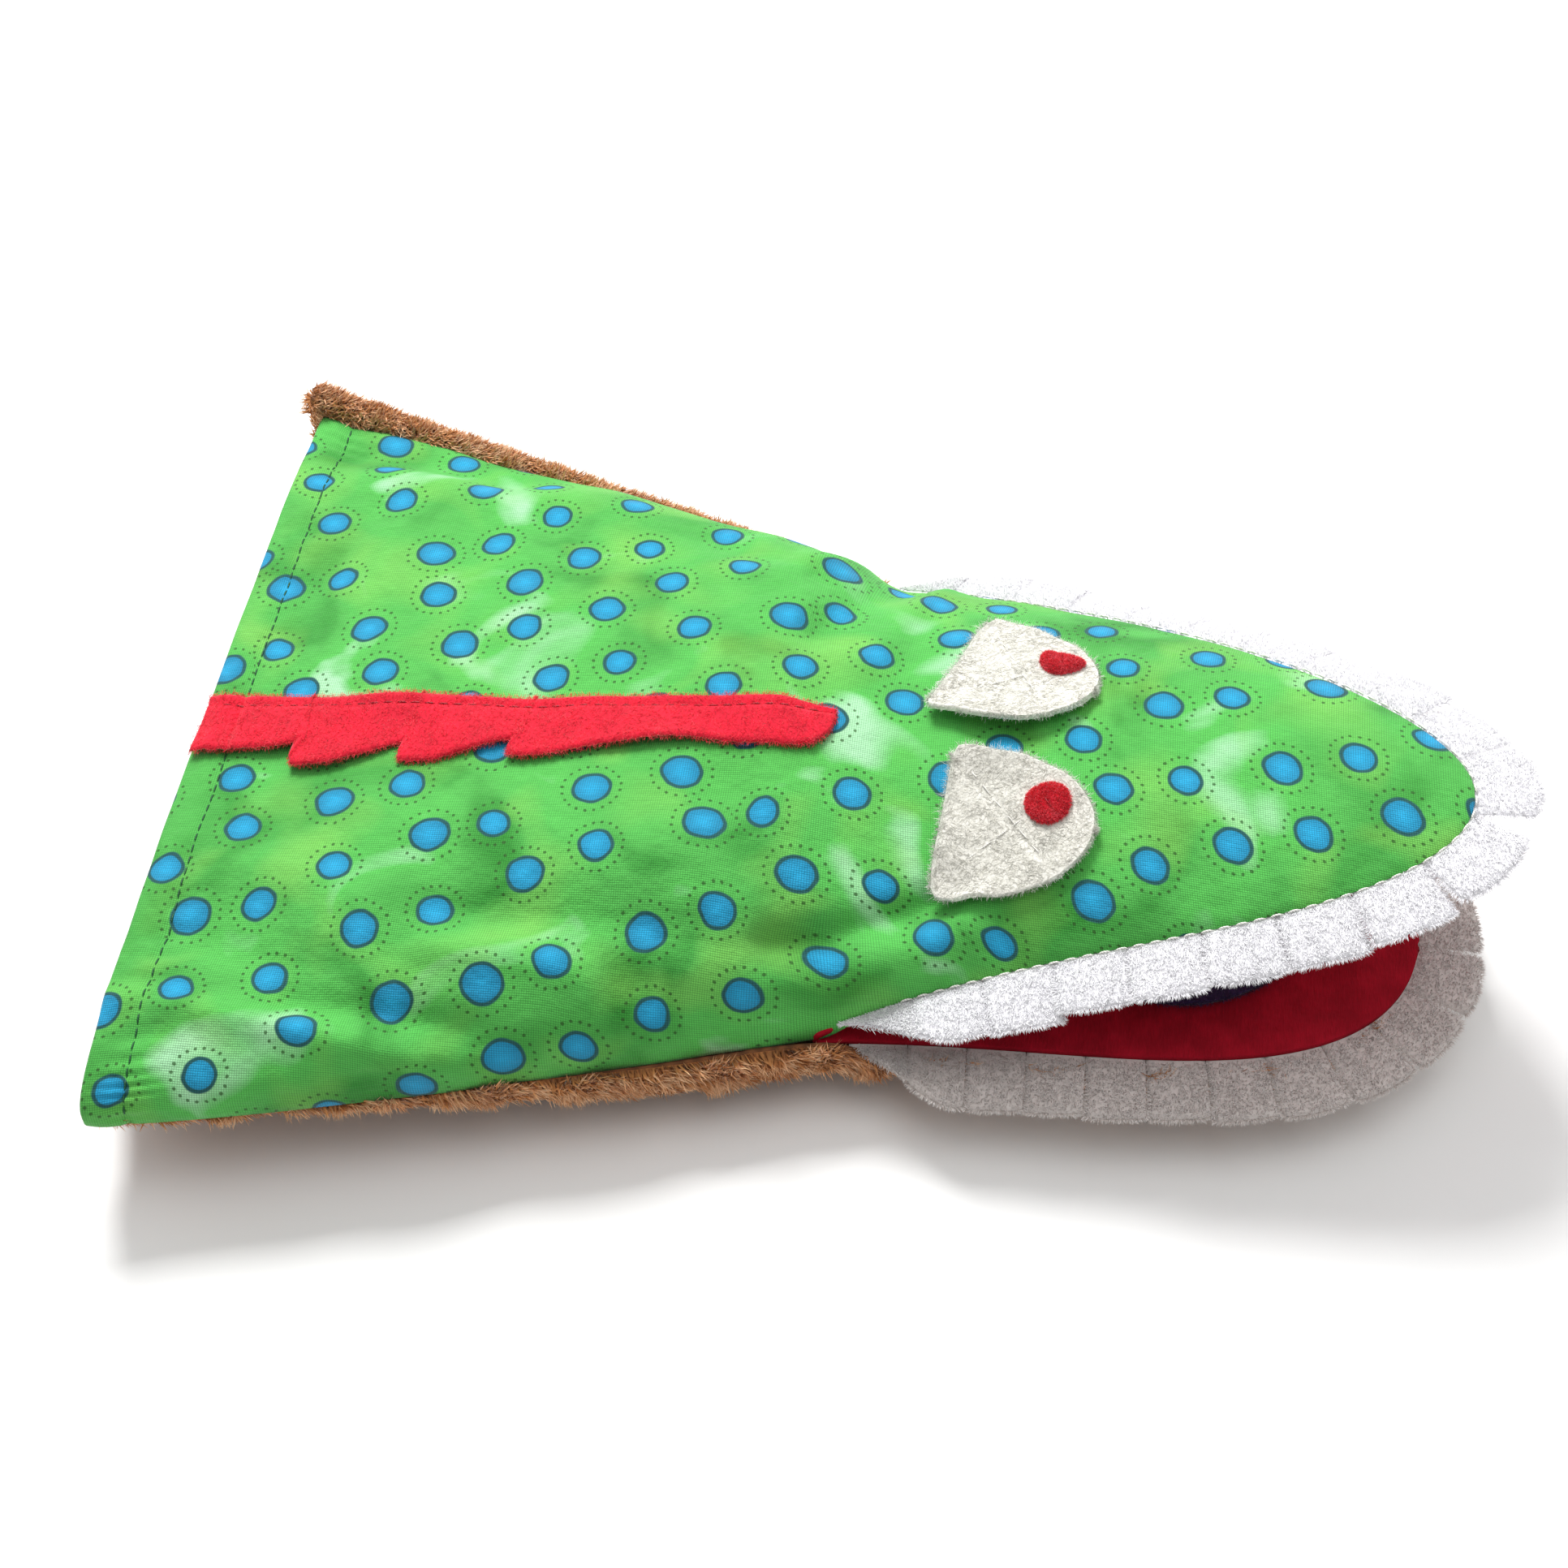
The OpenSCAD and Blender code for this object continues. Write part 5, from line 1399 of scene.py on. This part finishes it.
class PUPPET_OT_crest(bpy.types.Operator):
    """Toothed crest of red felt, sewn down along its straight edge"""

    bl_idname = "puppet.crest"
    bl_label = "Crest"

    def execute(self, context):
        s = sizes()
        rng = np.random.default_rng(5)
        first, pitch, notch = s.crest_pitch + 2, s.crest_pitch, s.crest_w - 5
        # lower outline from wrist to front: straight, three hooked teeth, a long blade and a round end
        pts = [(0.3, -(s.crest_w - 2.0)), (first - 6, -(notch + 1.2))]
        for k in range(3):
            x, up, tip = first + k * pitch, notch - 0.6 * k, s.crest_w + 1.0 - 1.3 * k
            pts += [(x, -up + 0.3), (x - 0.7, -up - 0.9), (x - 2.3, -tip + 0.9)]
            pts += [(x - 1.6, -tip + 0.1), (x + 0.6, -tip), (x + 5, -tip + 0.6)]
        pts += [
            (first + 2 * pitch + 14, -12.9), (first + 2 * pitch + 24, -11.3), (first + 2 * pitch + 33, -10.6),
            (s.crest_len - 16, -11.2), (s.crest_len - 8, -11.4), (s.crest_len - 3.5, -10.2),
            (s.crest_len - 1.2, -7.4), (s.crest_len - 0.2, -4.2),
        ]
        pts = np.array(pts)
        run = np.concatenate([[0], np.cumsum(np.linalg.norm(np.diff(pts, axis=0), axis=1))])
        at = np.linspace(0, run[-1], 520)
        low = np.stack([np.interp(at, run, pts[:, c]) for c in (0, 1)], 1)
        kernel = np.exp(-np.linspace(-1.6, 1.6, 5) ** 2)
        kernel /= kernel.sum()
        for c in (0, 1):
            low[3:-3, c] = np.convolve(low[:, c], kernel, "same")[3:-3]
        low += 0.09 * np.stack([np.sin(at * 3.1), np.sin(at * 2.3 + 1)], 1)
        top_x = mix(low[:, 0], np.linspace(0.3, s.crest_len - 0.4, len(low)), 0.35)
        top_x[0], top_x[-1] = 0.3, s.crest_len - 0.3
        top_y = 0.15 * np.sin(top_x / 6) + 0.1 - 1.6 * ease((top_x - s.crest_len + 12) / 14)
        q = np.linspace(0, 1, 19)[None]
        x = mix(top_x[:, None], low[:, :1], q)
        y = mix(top_y[:, None], low[:, 1:], q)
        groove = -0.38 * np.exp(-(((y + s.crest_margin_w - 0.5) / 0.55) ** 2))
        lift = 0.55 * q**1.5 * np.sin(x / 11) + 0.5 * q**2 + 0.28 * np.sin(x / 5.3 + y / 4)
        dip = -0.7 * np.exp(-(((x - 6.8 - y * 0.12) / 1.5) ** 2)) + 0.35 * np.exp(-(((x - 3.0) / 2.4) ** 2))
        mid = on_crest(s, x, y, s.felt_t / 2 + 0.35 + groove + lift + dip * (0.2 + 0.3 * q))
        n = normals_up(mid, 200, 9)
        finishes = [material("red felt"), material("red felt"), material("red felt cut edge")]
        obj = slab("Crest_Felt", mid, n, s.felt_t, finishes, (1.0, 0.6))
        a, b = (on_crest(s, np.array(60.0), np.array(y), 0.0) for y in (-2.2, -4.6))
        row_point(s, *a)
        row_point(s, *b)
        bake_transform(obj)
        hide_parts("crest_margin", "crest_flap")
        # fuzz: short fibres all over, and others that stand out of the cut edges
        root, up, _ = scatter(mid + n * 0.6, n, 15000, rng)
        lean = unit(rng.normal(size=root.shape) * [1, 1, 0.3])
        fuzz = blades(root, unit(up * 0.5 + lean), lean, 0.5 + 0.7 * rng.random(len(root)), 0.07, rng, 0.8)
        for edge, count, way in ((mid[:, -1], 4200, -1.0), (mid[:, 0], 2600, 1.0), (mid[-1], 300, -1.0)):
            root = along_edge(edge, count, rng)[0] + rng.normal(size=(count, 3)) * [0.1, 0.1, 0.35]
            gone = unit(np.array([0, way, 0]) + rng.normal(size=root.shape) * 0.7)
            lean = unit(gone + rng.normal(size=root.shape) * 0.6)
            stray = blades(root, gone, lean, 0.4 + 0.7 * rng.random(count), 0.07, rng, 0.6)
            fuzz = join_parts([fuzz, stray])
        hair = put_parts("Crest_Fuzz", fuzz, "red felt fuzz")
        row_point(s, *a)
        row_point(s, *b)
        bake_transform(hair)
        # the row of stitches that holds it, sunk in its groove
        xs = np.linspace(3, s.crest_len - 3, 260)
        z = s.felt_t - 0.02 + 0.28 * np.sin(xs / 5.3 - 0.6)
        line = on_crest(s, xs, np.full_like(xs, -s.crest_margin_w + 0.5), z)
        row = stitches(line, np.tile([0, 0, 1.0], (len(xs), 1)), 2.7, 2.2, 0.17, 0.02)
        fix(put_parts("Stitches_Crest", row, "red thread"), "sleeve", "red_thread", "crest_stitches")
        return {"FINISHED"}


def eye_place(s, side):
    """Origin and axes of an eye: on the head, in the plane that touches the dome under its middle."""
    t = s.eye_x / s.upper_len
    w = mix(s.mouth_half_w, s.upper_nose_w, t) * shrink(s, t)
    c = (side * (s.eye_w + s.eye_space) / 2 + s.eye_shift) / w
    t, c = np.array(t), np.array(c)
    o = head_point(s, t, c)
    u = head_point(s, t + 0.01, c) - head_point(s, t - 0.01, c)
    v = head_point(s, t, c + 0.01) - head_point(s, t, c - 0.01)
    n = unit(np.cross(u, v))
    along = unit(u - n * (u @ n))
    turn, tilt = math.radians(s.eye_turn), math.radians(s.eye_tilt * side)
    n = n * math.cos(tilt) - np.cross(along, n) * math.sin(tilt)
    ex = along * math.cos(turn) + np.cross(n, along) * math.sin(turn)
    return o, ex, np.cross(n, ex), n


def on_eye(s, place, x, y, z):
    """A point of an eye. x and y lie in the plane that touches the head under its middle. The felt is stiff, so
    it keeps near that plane, and rests on the cotton only where a crease is higher. z is the height above."""
    o, ex, ey, n = place
    p = o + x[..., None] * ex + y[..., None] * ey
    t = p[..., 0] / s.upper_len
    half = mix(s.mouth_half_w, s.upper_nose_w, t) * shrink(s, t)
    dome = head_point(s, t, np.clip((p[..., 1] - sway(s, t)) / half, -0.96, 0.96))[..., 2]
    q = pitched(s, p, s.rest)
    crease = dome + crease_height(s, q, s.sleeve_len + p[..., 0], np.full_like(x, np.pi / 2))
    flat = mix(dome, p[..., 2], 0.72)
    p[..., 2] = (flat + crease + np.sqrt((flat - crease) ** 2 + 0.3)) / 2
    return pitched(s, p + z[..., None] * n, s.rest)


class PUPPET_OT_eyes(bpy.types.Operator):
    """Felt eyes with their crossed stitches, pupils and loose threads"""

    bl_idname = "puppet.eyes"
    bl_label = "Eyes"

    def execute(self, context):
        s = sizes()
        for side, name in ((1, "Left"), (-1, "Right")):
            rng = np.random.default_rng(21 + side)
            place = eye_place(s, side)
            k = np.linspace(0, 1, 44)[:, None]
            q = 1 - (1 - k) ** 1.6
            half = s.eye_w / 2 * np.sqrt(np.maximum(0.0004, 1 - q**2.6))
            corner = 1.9
            off = np.clip(corner - q * s.eye_len, 0, corner)
            half = half - corner + np.sqrt(np.maximum(0, corner**2 - off**2))
            half = half * (1 + 0.012 * np.sin(q * 19 + side))
            v = np.sin(np.linspace(-np.pi / 2, np.pi / 2, 41))[None]
            x = s.eye_len * (q - 0.5) + 0 * v
            y = half * v
            wave = 0.16 * np.sin(x / 3.1 + y / 5) + 0.14 * np.sin(y / 2.7 - x / 4)
            curl = 0.45 * ((x / 14) ** 4 + (y / 13.5) ** 4)
            one, other = ((y - sign * (x * 0.95 + 1)) / 0.8 for sign in (1, -1))
            cross = -0.22 * (np.exp(-(one**2)) + np.exp(-(other**2)))  # grooves under the crossed stitches
            z = 0.4 + s.felt_t / 2 + wave + curl + cross
            mid = on_eye(s, place, x, y, z)
            n = normals_up(mid, 20, 20)
            obj = slab(f"Eye_{name}", mid, n, s.felt_t, [material("white felt")], (1.5, 2.0))
            fix(obj, "upper_jaw", "white_felt", f"eye_{name.lower()}")
            # fibres lying on the felt, and a fringe round its cut edge
            count = 9000
            root, up, _ = scatter(mid + n * 0.58, n, count, rng)
            lean = unit(np.cross(up, rng.normal(size=root.shape)))
            curled = unit(lean + rng.normal(size=root.shape) * 0.35)
            hair = blades(root, unit(lean + up * 0.12), curled, 0.8 + 1.5 * rng.random(count), 0.06, rng, 0.7)
            count = 2600
            rim = np.concatenate([mid[:, 0], mid[-1], mid[::-1, -1], mid[0, ::-1]])
            root = along_edge(rim, count, rng)[0] + up[:count] * rng.normal(size=(count, 1)) * 0.3
            gone = unit(unit(root - mid[20, 20]) + rng.normal(size=root.shape) * 0.8)
            lean = unit(gone + rng.normal(size=root.shape) * 0.6)
            fringe = blades(root, gone, lean, 0.5 + 0.8 * rng.random(count), 0.06, rng, 0.6)
            fibres = put_parts(f"Eye_{name}_Fibres", join_parts([hair, fringe]), "white felt fibres")
            fix(fibres, "upper_jaw", "white_felt")
            # stitches of the cross, then a loose end of thread at a back corner
            px, py = 0.18 * s.eye_len, 4.6
            parts = []
            for slant in (-1, 1):
                f_at = np.linspace(0.02, 1.0, 60)
                lx = mix(-s.eye_len * 0.40, s.eye_len * 0.30, f_at)
                ly = slant * mix(-s.eye_w * 0.37, s.eye_w * 0.30, f_at)
                clear = np.hypot(lx - px, ly - py) > s.pupil_d / 2 + 0.6
                lx, ly = lx[clear], ly[clear]
                line = on_eye(s, place, lx, ly, np.full_like(lx, 0.4 + s.felt_t - 0.12))
                parts.append(stitches(line, np.tile(place[3], (len(lx), 1)), 3.4, 2.5, 0.12, 0.02))
            bend = np.linspace(0, 1, 7)
            cx, cy = -s.eye_len * 0.42, -side * s.eye_w * 0.44
            high = 1.6 - 1.2 * bend + 0.6 * np.sin(bend * 3)
            loose = on_eye(s, place, cx - 2.6 * bend, cy + 1.4 * np.sin(bend * 4) * side, high)
            parts.append(tube(loose[None], 0.08))
            row = put_parts(f"Stitches_Eye_{name}", join_parts(parts), "white thread")
            fix(row, "upper_jaw", "white_thread", f"eye_stitches_{name.lower()}")
            # pupil: a round of pile felt; the left one is folded over and sits as a bean
            rho = np.concatenate([np.linspace(0.02, 0.8, 9), np.linspace(0.86, 1, 6)])[:, None]
            th = np.linspace(0, 2 * np.pi, 49)[None]
            rad = s.pupil_d / 2 * (1 + 0.03 * np.sin(3 * th + side))
            ax, ay = rho * rad * np.cos(th), rho * rad * np.sin(th)
            dome = 1.5 * np.sqrt(np.maximum(0.02, 1 - rho**4))
            if side > 0:
                ax, ay = ax * 1.05, ay * 0.62 + 0.09 * ax * ax
                dome = dome * 1.15
            line_off = ax * math.sin(0.9) + ay * math.cos(0.9)
            dome = dome - (0.55 if side < 0 else 0.3) * np.exp(-((line_off / 0.55) ** 2)) * (1 - rho**6)
            base = 0.4 + s.felt_t
            top = on_eye(s, place, px + ax, py + ay, base + dome)
            low = on_eye(s, place, px + ax * 0.96, py + ay * 0.96, base - 0.15 + 0 * dome)
            obj = closed_sheet(f"Pupil_{name}", top, low, [material("red felt")])
            fix(obj, "upper_jaw", "red_felt", f"pupil_{name.lower()}")
            count = 4200
            root, up, _ = scatter(top, normals_up(top, 5, 12), count, rng)
            lean = unit(rng.normal(size=root.shape))
            hair = blades(root, unit(up + lean * 0.5), lean, 0.45 + 0.4 * rng.random(count), 0.09, rng, 0.5)
            fix(put_parts(f"Pupil_{name}_Pile", hair, "red felt fuzz"), "upper_jaw", "red_felt")
            b = np.linspace(-1, 1, 7)
            line = on_eye(s, place, px - 1.5 * b * 0.6, py + 2.0 * b * 0.6, base + 1.55 - 0.35 * b * b)
            stitch = put_parts(f"Stitch_Pupil_{name}", tube(line[None], 0.11), "red thread")
            fix(stitch, "upper_jaw", "red_thread", f"pupil_stitch_{name.lower()}")
        return {"FINISHED"}


class PUPPET_OT_tongue(bpy.types.Operator):
    """Purple felt tongue, sewn down at its root"""

    bl_idname = "puppet.tongue"
    bl_label = "Tongue"

    def execute(self, context):
        s = sizes()
        rng = np.random.default_rng(3)
        half = s.tongue_w / 2
        k = np.linspace(0, 1, 90)[:, None]
        x = s.tongue_len * (1 - (1 - k) ** 1.5)
        past = np.clip((x - (s.tongue_len - half)) / half, 0, 1)
        w = mix(0.8 * half, half, np.clip(x / (s.tongue_len - half), 0, 1))
        w = w * np.sqrt(np.maximum(0.0009, 1 - past**2))
        v = np.sin(np.linspace(-np.pi / 2, np.pi / 2, 31))[None]
        y = w * v - 6.5 * np.sin(np.pi * x / s.tongue_len)
        # waves along the middle, both edges up a little, the right one more, and the tip up
        along = x / s.tongue_len
        waves = 0.22 * np.sin(x / 9) * (1 - v**2) + 0.15 * v**2
        z = -0.1 + waves + ease(-v) * np.sin(np.pi * along) + 0.5 * along**3
        c, n0 = math.cos(s.tongue_turn), math.sin(s.tongue_turn)
        mid = pitched(s, stack(s.tongue_start + x * c - y * n0, x * n0 + y * c, z), 0.0)
        n = normals_up(mid, 40, 15)
        obj = slab("Tongue", mid, n, 1.0, [material("purple felt")], (1.2, 1.5))
        fix(obj, "lower_jaw", "purple_felt", "tongue")
        rim = np.concatenate([mid[:, 0], mid[-1], mid[::-1, -1]])
        count = 6000
        root = along_edge(rim, count, rng)[0] + rng.normal(size=(count, 3)) * [0.1, 0.1, 0.25]
        gone = unit(unit(root - mid[45, 15]) + rng.normal(size=root.shape) * 0.7)
        lean = unit(gone + rng.normal(size=root.shape) * 0.6)
        edge = blades(root, gone, lean, 0.4 + 0.6 * rng.random(count), 0.07, rng, 0.6)
        count = 12000
        root, up, _ = scatter(mid + n * 0.5, n, count, rng)
        lean = unit(np.cross(up, rng.normal(size=root.shape)))
        top = blades(root, unit(up * 0.6 + lean), lean, 0.4 + 0.6 * rng.random(count), 0.07, rng, 0.7)
        fix(put_parts("Tongue_Fuzz", join_parts([edge, top]), "purple fuzz"), "lower_jaw", "purple_felt")
        yy = np.linspace(-0.36, 0.36, 60) * s.tongue_w
        line = pitched(s, stack(s.tongue_start - 1.2 * c - yy * n0, -1.2 * n0 + yy * c, -0.55), 0.0)
        row = stitches(line, np.tile([0, 0, 1.0], (len(yy), 1)), 4.2, 3.2, 0.25)
        stitched = put_parts("Stitches_Tongue", row, "purple thread")
        fix(stitched, "lower_jaw", "purple_thread", "tongue_stitches")
        return {"FINISHED"}


# name, flat width and length in metres, area in square metres, what it lies on, and the pieces fixed to it
SHEETS = (
    ("Cotton_Back", (0.196, 0.262), 0.0405, ("belly_panel", "upper_board"), ("Stitches_Hem_Back",)),
    (
        "Plush_Belly", (0.215, 0.262), 0.0405, (),
        ("Pile_Sleeve_Left", "Pile_Sleeve_Right", "Pile_Chin", "Stitches_Hem_Belly"),
    ),
    ("Lining_Palate", (0.114, 0.120), 0.0098, (), ()),
    ("Lining_Floor", (0.114, 0.113), 0.0100, (), ()),
    ("Crest_Felt", (0.0175, 0.124), 0.00152, ("Cotton_Back",), ("Crest_Fuzz", "Stitches_Crest")),
    ("Tongue", (0.041, 0.078), 0.00288, ("Lining_Floor",), ("Tongue_Fuzz", "Stitches_Tongue")),
)


class PUPPET_OT_cloth(bpy.types.Operator):
    """Goes through the table of free sheets of cloth and sets nothing"""

    bl_idname = "puppet.cloth"
    bl_label = "Sheets of cloth"

    def execute(self, context):
        for name, flat, area, under, on_it in SHEETS:
            list(under)
            list(on_it)
        return {"FINISHED"}


OPERATORS = (
    PUPPET_OT_stage,
    PUPPET_OT_cotton,
    PUPPET_OT_plush,
    PUPPET_OT_allowances,
    PUPPET_OT_teeth,
    PUPPET_OT_lining,
    PUPPET_OT_boards,
    PUPPET_OT_crest,
    PUPPET_OT_eyes,
    PUPPET_OT_tongue,
    PUPPET_OT_cloth,
)


class PUPPET_PT_panel(bpy.types.Panel):
    """Steps that make the puppet, in their order"""

    bl_idname = "PUPPET_PT_panel"
    bl_label = "Moving Mouth Puppet"
    bl_space_type = "VIEW_3D"
    bl_region_type = "UI"
    bl_category = "Puppet"

    def draw(self, context):
        for op in OPERATORS:
            self.layout.operator(op.bl_idname)
        for prop, group in {**GROUPS, "puppet_colours": ClothColours}.items():
            box = self.layout.box()
            for name in group.__annotations__:
                box.prop(getattr(context.scene, prop), name)


CLASSES = (SleeveSizes, MouthSizes, FaceSizes, ClothColours, *OPERATORS, PUPPET_PT_panel)


def register():
    for c in CLASSES:
        bpy.utils.register_class(c)
    for prop, group in {**GROUPS, "puppet_colours": ClothColours}.items():
        setattr(bpy.types.Scene, prop, PointerProperty(type=group))


def unregister():
    for prop in (*GROUPS, "puppet_colours"):
        delattr(bpy.types.Scene, prop)
    for c in reversed(CLASSES):
        bpy.utils.unregister_class(c)


def main():
    register()
    for op in OPERATORS:
        module, name = op.bl_idname.split(".")
        getattr(getattr(bpy.ops, module), name)()
    boxes = {"cad": CAD_BOX, "visual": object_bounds()}
    {k: [list(lo), list(hi)] for k, (lo, hi) in boxes.items()}


if __name__ == "__main__":
    main()
